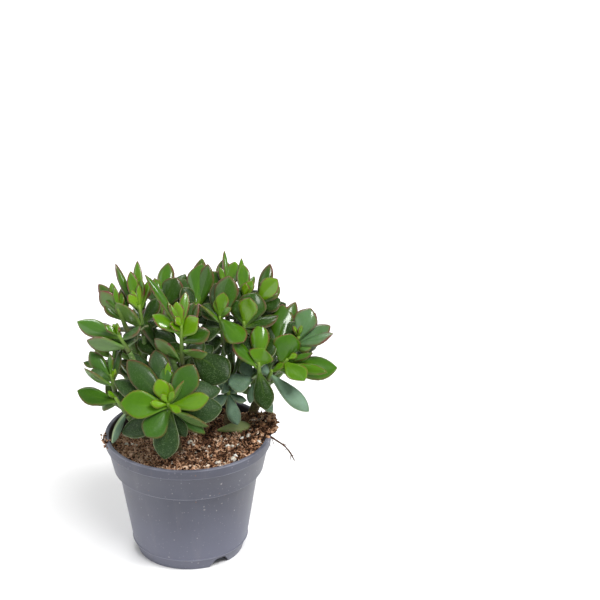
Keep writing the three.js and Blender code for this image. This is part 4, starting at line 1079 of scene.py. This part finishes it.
def hidden_shoot(row):
    name, stem, at, direction, length, pairs, longest, first_turn = row
    tip = Vector(at) * MM
    axis = Vector(direction).normalized()
    length, longest = length * MM, longest * MM
    sideways = Vector((1, 0, 0)).cross(axis).normalized()
    leaves = []
    for pair in range(pairs):
        for half in (0, 180):
            turn = math.radians(first_turn + 90 * pair + half)
            out = Quaternion(axis, turn) @ sideways
            lean = math.radians(OPEN[0] + OPEN[1] * pair)
            size = longest * min(1, GROWN[0] + GROWN[1] * pair)
            base = tip - axis * (BUD + (length - BARE) * (pair / pairs))
            end = base + axis * size * math.cos(lean) + out * size * math.sin(lean)
            facing = facing_of(base, end, axis, 0)
            # Leaves on inner shoots are made older, and so painted darker: painted shade.
            age = max(pair / pairs, SHADED_AGE if name.startswith("inner") else 0)
            leaves.append(
                {"base": base, "tip": end, "width": size * SLENDER, "age": age, "facing": facing})
    foot = tip - axis * length
    return {"name": name, "stem": stem, "tip": tip, "foot": foot, "axis": axis, "leaves": leaves}


GROWTH = [*map(seen_shoot, SHOOTS), *map(hidden_shoot, HIDDEN_SHOOTS)]


# ---- The stems ---------------------------------------------------------------------------
# Woody stems with thin grey-brown bark, ringed with the scars of old leaves. Each is one tube
# from the soil to its fork, with a branch run out to the foot of every shoot that it carries,
# and the tubes are fused into one skin where they meet.
ROOT_DEPTH = 14 * MM
TRUNK_TAPER = 0.72
BRANCH_RADII = (2.6 * MM, 1.9 * MM)
HIGH_FORK = 0.97  # where the branches leave the trunk, as a share of its length
LOW_FORK = 0.72
BRANCH_BEND = 0.45
NODE_PITCH = 9 * MM  # between the rings of leaf scars
NODE_SWELL = 0.05
NODE_WIDTH = 0.13  # of a ring, as a share of the pitch
TRUNK_STEPS, TRUNK_SIDES = 30, 16
BRANCH_STEPS, BRANCH_SIDES = 22, 12
FUSE = 0.5 * MM  # the fused skin's mesh
BROWN_BARK = [(0.28, paint(74, 62, 42)), (0.5, paint(112, 98, 70)), (0.72, paint(150, 136, 104))]
GREEN_BARK = [(0.3, paint(72, 100, 44)), (0.7, paint(112, 140, 78))]
BARK_FLECKS = paint(178, 168, 142)


def add_tube(bm, points, radii, sides):
    """A closed tube along the points: a circle, extruded from each point to the next."""
    ahead = (points[1] - points[0]).normalized()
    turn = Vector((0, 0, 1)).rotation_difference(ahead)
    start = Matrix.Translation(points[0]) @ turn.to_matrix().to_4x4()
    made = bmesh.ops.create_circle(
        bm, cap_ends=True, segments=sides, radius=radii[0], matrix=start)["verts"]
    ring, tube = made, list(made)
    for index in range(1, len(points)):
        around = dict.fromkeys(edge for vert in ring for edge in vert.link_edges)
        edges = [edge for edge in around if all(end in ring for end in edge.verts)]
        pushed = bmesh.ops.extrude_edge_only(bm, edges=edges)["geom"]
        ring = [item for item in pushed if isinstance(item, bmesh.types.BMVert)]
        after = points[min(index + 1, len(points) - 1)]
        heading = (after - points[index - 1]).normalized()
        swing = ahead.rotation_difference(heading).to_matrix()
        scale = radii[index] / radii[index - 1]
        for vert in ring:
            vert.co = points[index] + swing @ (vert.co - points[index - 1]) * scale
        ahead = heading
        tube.extend(ring)
    bmesh.ops.contextual_create(bm, geom=ring)
    return tube


def curve_points(start, bend, end, steps):
    """Points along a quadratic curve."""
    return [
        start * (1 - t) ** 2 + bend * 2 * t * (1 - t) + end * t ** 2
        for t in (step / steps for step in range(steps + 1))
    ]


def ringed(points, first, last):
    """A taper from first to last, swollen at each ring of leaf scars."""
    radii, travelled = [], 0.0
    total = sum((b - a).length for a, b in zip(points, points[1:]))
    for index, point in enumerate(points):
        if index:
            travelled += (point - points[index - 1]).length
        phase = (travelled / NODE_PITCH) % 1
        swell = NODE_SWELL * math.exp(-((phase - 0.5) / NODE_WIDTH) ** 2)
        radii.append((first + (last - first) * travelled / total) * (1 + swell))
    return radii


def bark():
    """Bark: green under a thin grey-brown skin, with rings, cracks and pale flecks."""
    material, tree, shader = new_material("bark", {"Specular IOR Level": 0.3})
    place = object_place(tree)
    rings = cloud(tree, stretched(tree, place, (1, 1, 3.2)), 260.0, 4.0, 0.65, 0.3)
    patches = cloud(tree, place, 110.0, 3.0)
    up_stem = weighed(tree, (axis_of(tree, place, "Z"), 1), (patches, 0.05))
    fresh = between(tree, up_stem, 0.118, 0.150)
    colour = tinted(tree, ramp(tree, rings, BROWN_BARK), ramp(tree, rings, GREEN_BARK), fresh)
    colour = tinted(tree, colour, BARK_FLECKS, dust(tree, place, 520.0, 0.3, 0.25), 0.5)
    rough = between(tree, fresh, 0.0, 1.0, 0.85, 0.5)
    drive(tree, shader, {"Base Color": colour, "Roughness": rough})
    relief(tree, rings, 0.3 * MM, 0.4, shader)
    return material


def stem_mesh(row):
    name, root, fork, radius = row
    start = Vector((root[0], root[1], 0)) * MM
    start.z = SOIL_HEIGHT - ROOT_DEPTH
    top = Vector(fork) * MM
    trunk = [start.lerp(top, step / TRUNK_STEPS) for step in range(TRUNK_STEPS + 1)]
    bm = bmesh.new()
    add_tube(bm, trunk, ringed(trunk, radius * MM, radius * TRUNK_TAPER * MM), TRUNK_SIDES)
    for shoot in (shoot for shoot in GROWTH if shoot["stem"] == name):
        end = shoot["foot"] - shoot["axis"] * GAP
        origin = start.lerp(top, HIGH_FORK if shoot["foot"].z > top.z else LOW_FORK)
        bend = end - shoot["axis"] * BRANCH_BEND * (end - origin).length
        route = curve_points(origin, bend, end, BRANCH_STEPS)
        add_tube(bm, route, ringed(route, *BRANCH_RADII), BRANCH_SIDES)
    return bm


bark_skin = bark()
for row in STEMS:
    stem = as_object(f"woody_stem_{row[0]}", stem_mesh(row), [bark_skin])
    fused = stem.modifiers.new("fused_skin", "REMESH")
    fused.mode = "VOXEL"
    fused.voxel_size = FUSE
    fused.use_smooth_shade = True
    smoothed = stem.modifiers.new("smoothed", "SMOOTH")
    smoothed.iterations = 3
    apply_modifiers(stem)
    settle(stem, f"stem_{row[0]}")


# ---- The leaves --------------------------------------------------------------------------
# Thick fleshy leaves, round at the end and narrow at the foot, in crossed pairs on a green
# shoot. New ones are thin, bright and glossy with a red-brown edge, and old ones dark and dull
# with a pale edge and pale dots. Each shoot is one piece, as it grew.
LEAF_THICKNESS = 3.8 * MM
YOUNG_SHARE = 0.75  # of the thickness, on a new leaf
LEAF_ROUND = 24
LEAF_STEPS = 15
WIDEST = 1.6  # over 1 puts the widest place nearer to the tip
POINTED = 0.84  # and less so with age, down to blunt
BLUNTER = 0.15
PETIOLE = 0.16  # half width at the base, as a share of the leaf's
CUP = 0.16  # how far the margins rise, as a share of the half width
BOW = 0.05  # how far the middle sinks, as a share of the length
CURL = 0.06  # how far the tip rises, as a share of the length
FULL_AGE = 0.27
# How much those three vary: a young leaf is hollow, and a full one is domed.
YOUNG_BEND = ((-0.5, 2.2), (-0.6, 1.0), (-1, 1.6))
FULL_BEND = ((-2.2, -0.5), (-0.9, 0.4), (-1.4, 0.8))
SWAY = 0.03  # how far the middle may lie to a side, as a share of the length
TWIST = 0.30
LUMPS = 0.45 * MM
UPPER_SHARE = 0.75  # of the half thickness, over the margins' level
LOWER_SHARE = 1.2
LENS = 3.6  # how full it stays towards its margins
POLE = 0.001
SHOOT_RADII = (1.9 * MM, 1.1 * MM)
SHOOT_STEPS = 12
SHOOT_SIDES = 12
BROAD = 9 * MM  # a leaf that is narrower than this has a thinner line along its edge
LEAF_LAYERS = ("along", "across", "edge", "under", "age", "tone", "bloom")
# How silvery the leaves of some shoots are, from 0 to 1.
BLOOM = {
    "right_pale": 0.28, "low_grey_leaves": 0.6, "hanging_right": 0.8, "hanging_middle": 0.55,
    "front_rosette": 0.04, "front_rosette_back": 0.06, "left_low": 0.06, "left_side": 0.08,
}


def outline_at(s, age):
    """Half width at s along the leaf, 0 at the base to 1 at the tip, which is blunt on old ones."""
    blade = max(0.0, math.sin(math.pi * s ** WIDEST)) ** (POINTED - BLUNTER * age)
    return blade + PETIOLE * (1 - s) ** 2


def thickness_at(s):
    """The share of its thickness at s along the leaf, fullest near the middle."""
    return max(0.0, math.sin(math.pi * s ** 0.75)) ** 0.6


def add_leaf(bm, leaf, draw, bloom):
    """One leaf: a sphere drawn out from its base to its tip and flattened to a lens."""
    layers = [bm.verts.layers.float[name] for name in LEAF_LAYERS]
    along = leaf["tip"] - leaf["base"]
    length = along.length
    along.normalize()
    facing = leaf["facing"]
    across = along.cross(facing)
    half = leaf["width"] / 2
    thick = LEAF_THICKNESS * (YOUNG_SHARE + (1 - YOUNG_SHARE) * leaf["age"]) / 2
    ranges = YOUNG_BEND if leaf["age"] < FULL_AGE else FULL_BEND
    cup, bow, curl = (
        most * draw.uniform(*spread) for most, spread in zip((CUP, BOW, CURL * length), ranges))
    sway = length * draw.uniform(-SWAY, SWAY)
    twist = draw.uniform(-TWIST, TWIST)
    wave = draw.uniform(0, 100)
    tone = draw.random()
    made = bmesh.ops.create_uvsphere(
        bm, u_segments=LEAF_ROUND, v_segments=LEAF_STEPS, radius=1)["verts"]
    for vert in made:
        s = (1 - vert.co.z) / 2
        reach = math.hypot(vert.co.x, vert.co.y)
        side, face, wide, deep = 0, 0, 0, 0
        if reach > POLE:
            side, face = vert.co.x / reach, vert.co.y / reach
            wide = half * outline_at(s, leaf["age"])
            share = UPPER_SHARE if face > 0 else LOWER_SHARE
            deep = thick * thickness_at(s) * share * (1 - abs(side) ** LENS) ** 0.5
        lift = cup * wide * side ** 2 - bow * length * 4 * s * (1 - s)
        lift += LUMPS * noise.noise(Vector((side * 1.3, s * 2.6, wave)))
        lift += wide * side * twist * s + curl * s ** 3
        level = lift + math.copysign(deep, face)
        shift = wide * side + sway * 4 * s * (1 - s)
        vert.co = leaf["base"] + along * s * length + across * shift + facing * level
        edge = wide * (1 - abs(side)) / MM * max(1, BROAD / leaf["width"])
        for layer, value in zip(layers, (s, side, edge, -face, leaf["age"], tone, bloom)):
            vert[layer] = value


# A lighter line along the midrib: the midrib's own colour and a painted highlight along its crease.
MIDRIB_AND_PAINTED_HIGHLIGHT = paint(128, 164, 60)
FOOT_GREEN = paint(92, 122, 34)
LIT_EDGE = paint(108, 152, 26)  # where the light shines through
UNDERSIDE = paint(104, 128, 74)
SILVER = paint(122, 151, 130)
PALE_DOTS = paint(140, 166, 120)
BLUSH = paint(104, 62, 60)
RED_EDGE = paint(98, 42, 40)
OLD_EDGE = paint(160, 176, 140)
SUNNY = (140 * MM, 170 * MM)  # from shade to full sun
GLOSSY = (130 * MM, 180 * MM)  # from rubbed and dusty leaves to clean ones


def flesh(name, stops):
    """Leaf skin: waxy flesh that shines through a little, with midrib and a painted highlight along it,
    edge, dots and bloom.
    """
    material, tree, shader = new_material(name, {
        "Specular IOR Level": 0.18, "Coat Roughness": 0.12,
        "Subsurface Weight": 0.08, "Subsurface Radius": (0.5, 1.0, 0.12), "Subsurface Scale": 0.0025,
    })
    place = object_place(tree)
    height = axis_of(tree, place, "Z")
    along, across, edge, under, age, tone, bloom = (layer_of(tree, layer) for layer in LEAF_LAYERS)
    patches = cloud(tree, place, 85.0, 3.0, 0.55)
    ripe = plus(tree, age, centred(tree, patches, 0.22))
    ripe = maths(tree, "ADD", ripe, centred(tree, tone, 0.22), clamp=True)
    crease = times(
        tree, between(tree, maths(tree, "ABSOLUTE", across), 0.0, 0.13, 1.0, 0.0),
        between(tree, along, 0.25, 0.8, 1.0, 0.0))
    below = between(tree, under, -0.05, 0.35)
    silver = maths(
        tree, "MAXIMUM", times(tree, below, between(tree, age, 0.85, 0.95, 0.0, 0.8)),
        times(tree, bloom, between(tree, age, 0.2, 0.4), between(tree, patches, 0.3, 0.7, 0.6, 1.0)))
    dots = times(
        tree, dust(tree, place, 1700.0, 0.45, 0.7), between(tree, age, 0.35, 0.9, 0.12, 1.0))
    blush = times(
        tree, between(tree, edge, 0.0, 4.0, 0.65, 0.0), between(tree, along, 0.45, 0.95),
        between(tree, height, *SUNNY), between(tree, age, 0.3, 0.4),
        between(tree, age, 0.55, 0.8, 1.0, 0.0), between(tree, patches, 0.35, 0.6, 0.3, 1.0))
    red = times(
        tree, between(tree, edge, 0.45, 1.6, 1.0, 0.0), between(tree, along, 0.25, 0.55),
        between(tree, cloud(tree, place, 420.0, 2.0), 0.35, 0.6, 0.55, 1.0),
        between(tree, patches, 0.34, 0.52, 0.35, 1.0), between(tree, age, 0.5, 0.95, 0.95, 0.2),
        between(tree, height, *SUNNY, 0.6, 1.0))
    colour = ramp(tree, ripe, stops)
    for tint, *masks in (
        # midrib colour and painted highlight
        (MIDRIB_AND_PAINTED_HIGHLIGHT, crease, 0.10),
        (FOOT_GREEN, between(tree, along, 0.0, 0.34, 1.0, 0.0), 0.45),
        (LIT_EDGE, between(tree, edge, 0.25, 2.4, 0.35, 0.0), between(tree, age, 0.2, 0.75, 1.0, 0.15)),
        (UNDERSIDE, below, 0.45),
        (SILVER, silver),
        (PALE_DOTS, dots, 0.24),
        (BLUSH, blush),
        (RED_EDGE, red),
        (OLD_EDGE, between(tree, edge, 0.1, 0.6, 1.0, 0.0), between(tree, age, 0.6, 0.95, 0.0, 0.65)),
    ):
        colour = tinted(tree, colour, tint, *masks)
    rough = plus(tree, weighed(tree, (age, 0.16), (bloom, 0.15), (patches, 0.12)), 0.24)
    waxy = times(
        tree, between(tree, age, 0.35, 0.85, 0.85, 0.10), between(tree, height, *GLOSSY, 0.08, 1.0),
        between(tree, patches, 0.3, 0.6, 0.6, 1.0))
    drive(tree, shader, {"Base Color": colour, "Roughness": rough, "Coat Weight": waxy})
    cushion = maths(tree, "POWER", between(tree, edge, 0.2, 2.6), 0.5)
    fine, swell = cloud(tree, place, 900.0, 2.0), cloud(tree, place, 240.0, 2.0)
    height = weighed(
        tree, (fine, 0.22), (swell, 0.9), (dots, -0.15), (crease, -0.4), (cushion, 3.2))
    relief(tree, height, 0.25 * MM, 0.7, shader)
    return material


def green_wood():
    """The shoot's own skin: pale green, faintly ringed, browner low down."""
    material, tree, shader = new_material("green_shoot", {"Specular IOR Level": 0.4})
    patches = cloud(tree, object_place(tree), 300.0, 3.0)
    mixed = maths(tree, "ADD", layer_of(tree, "age"), centred(tree, patches, 0.5), clamp=True)
    colour = ramp(tree, mixed, [
        (0.0, paint(112, 144, 50)), (0.6, paint(82, 108, 44)), (1.0, paint(84, 88, 50)),
    ])
    rough = between(tree, patches, 0.2, 0.8, 0.4, 0.6)
    drive(tree, shader, {"Base Color": colour, "Roughness": rough})
    relief(tree, patches, 0.3 * MM, 0.4, shader)
    return material


leaf_skin = flesh("jade_leaf", [
    (0.0, paint(98, 138, 8)), (0.14, paint(79, 121, 5)), (0.38, paint(53, 95, 5)),
    (0.62, paint(39, 72, 6)), (0.82, paint(30, 54, 9)), (1.0, paint(28, 49, 15)),
])
shoot_skin = green_wood()


def leaf_mesh(leaves, draw, bloom):
    """A mesh with these leaves and the values that their skin reads."""
    bm = bmesh.new()
    for name in LEAF_LAYERS:
        bm.verts.layers.float.new(name)
    for leaf in leaves:
        add_leaf(bm, leaf, draw, bloom)
    return bm


def shoot_mesh(shoot):
    name = shoot["name"]
    bm = leaf_mesh(shoot["leaves"], random.Random(name), BLOOM.get(name, 0.0))
    leaf_faces = len(bm.faces)
    route = [shoot["foot"].lerp(shoot["tip"], step / SHOOT_STEPS) for step in range(SHOOT_STEPS + 1)]
    stalk = add_tube(bm, route, ringed(route, *SHOOT_RADII), SHOOT_SIDES)
    age_layer = bm.verts.layers.float["age"]
    for vert in stalk:
        vert[age_layer] = (shoot["tip"] - vert.co).length / (shoot["tip"] - shoot["foot"]).length
    bm.faces.ensure_lookup_table()
    for face in bm.faces[leaf_faces:]:
        face.material_index = 1
    bmesh.ops.recalc_face_normals(bm, faces=bm.faces)
    return bm


for shoot in GROWTH:
    piece = as_object(f"leafy_shoot_{shoot['name']}", shoot_mesh(shoot), [leaf_skin, shoot_skin])
    settle(piece, f"shoot_{shoot['name']}")


# ---- The fallen leaf ---------------------------------------------------------------------
# An old leaf that has dropped and lies on the flank of the heap, dull and olive. Its colours are
# also painted paler, as painted light, where the leaves over it shade it.
FALLEN_ENDS = ((217.5, 434.5), (250, 430))  # its base and its tip, in the picture
FALLEN_WIDTH = 10.5 * MM
FALLEN_AGE = 0.5
FALLEN_ABOVE = 3.6 * MM  # the soil
FALLEN_SHOW = 1.4
FALLEN_BLOOM = 0.1

base, tip = (soil_seen_at(*end) + Vector((0, 0, FALLEN_ABOVE)) for end in FALLEN_ENDS)
fallen = {
    "base": base, "tip": tip, "width": FALLEN_WIDTH, "age": FALLEN_AGE,
    "facing": facing_of(base, tip, Vector((0, 0, 1)), FALLEN_SHOW),
}
bm = leaf_mesh([fallen], random.Random("fallen leaf"), FALLEN_BLOOM)
# Paler than the crown's leaves: an old leaf's own olive, and painted light against the shade it lies
# in.
old_leaf_lit_skin = flesh("old_leaf", [
    (0.0, paint(198, 208, 148)), (0.5, paint(162, 176, 116)), (1.0, paint(128, 140, 92)),
])
settle(as_object("dropped_leaf", bm, [old_leaf_lit_skin]), "fallen_leaf")


# ---- The root strand ---------------------------------------------------------------------
# A dry brown root that hangs out of the heap over the rim, frayed into finer hairs.
STRAND_RADIUS = 0.95 * MM
STRAND_STEPS, STRAND_SIDES = 8, 9  # steps from knot to knot
HAIR_STEPS, HAIR_SIDES = 8, 6
HAIR_TAPER = 0.07  # at each step
HAIR_SAG = 1.2 * MM
STRAND = [
    (252, 431, -1), (259, 431.5, -4), (266, 433.5, -7), (275, 439.5, -10),
    (284, 445.5, -12), (290, 452.5, -13), (294.5, 460.5, -14),
]
# Hairs: the step of the strand they leave, and their end x, y, back, and radius in millimetres.
FRAYS = [
    (18, 270.5, 447, -13, 0.35), (20, 274.5, 446, -12, 0.4), (30, 287, 446, -12, 0.35),
    (36, 283, 452, -14, 0.3), (42, 290, 461, -15, 0.4), (44, 294.5, 455, -13, 0.3),
]


def smooth_route(knots, steps):
    """Points along a smooth curve through the knots."""
    route = []
    padded = [knots[0] * 2 - knots[1], *knots, knots[-1] * 2 - knots[-2]]
    for a, b, c, d in zip(padded, padded[1:], padded[2:], padded[3:]):
        for step in range(steps):
            t = step / steps
            route.append(0.5 * (
                2 * b + (c - a) * t + (2 * a - 5 * b + 4 * c - d) * t ** 2
                + (3 * b - a - 3 * c + d) * t ** 3))
    return [*route, knots[-1]]


dry_root = soil_colour("dry_root", [
    (0.0, paint(50, 34, 26)), (0.5, paint(86, 62, 48)), (1.0, paint(128, 100, 80)),
], 700.0, {"Specular IOR Level": 0.2})
bm = bmesh.new()
tone_layer = bm.verts.layers.float.new("tone")
route = smooth_route([seen_at(*knot) for knot in STRAND], STRAND_STEPS)
lumpy = [
    STRAND_RADIUS * (1 - 0.5 * index / len(route)) * (1 + 0.35 * noise.noise(point * 420))
    for index, point in enumerate(route)
]
strand = add_tube(bm, route, lumpy, STRAND_SIDES)
for start, x, y, back, thick in FRAYS:
    origin = route[start]
    end = seen_at(x, y, back)
    hair = curve_points(origin, origin.lerp(end, 0.5) + UP * HAIR_SAG, end, HAIR_STEPS)
    taper = [thick * MM * (1 - HAIR_TAPER * step) for step in range(HAIR_STEPS + 1)]
    strand += add_tube(bm, hair, taper, HAIR_SIDES)
for vert in strand:
    vert[tone_layer] = 0.35 + 0.3 * noise.noise(vert.co * 300)
bmesh.ops.recalc_face_normals(bm, faces=bm.faces)
settle(as_object("dry_root_strand", bm, [dry_root]), "root_strand")
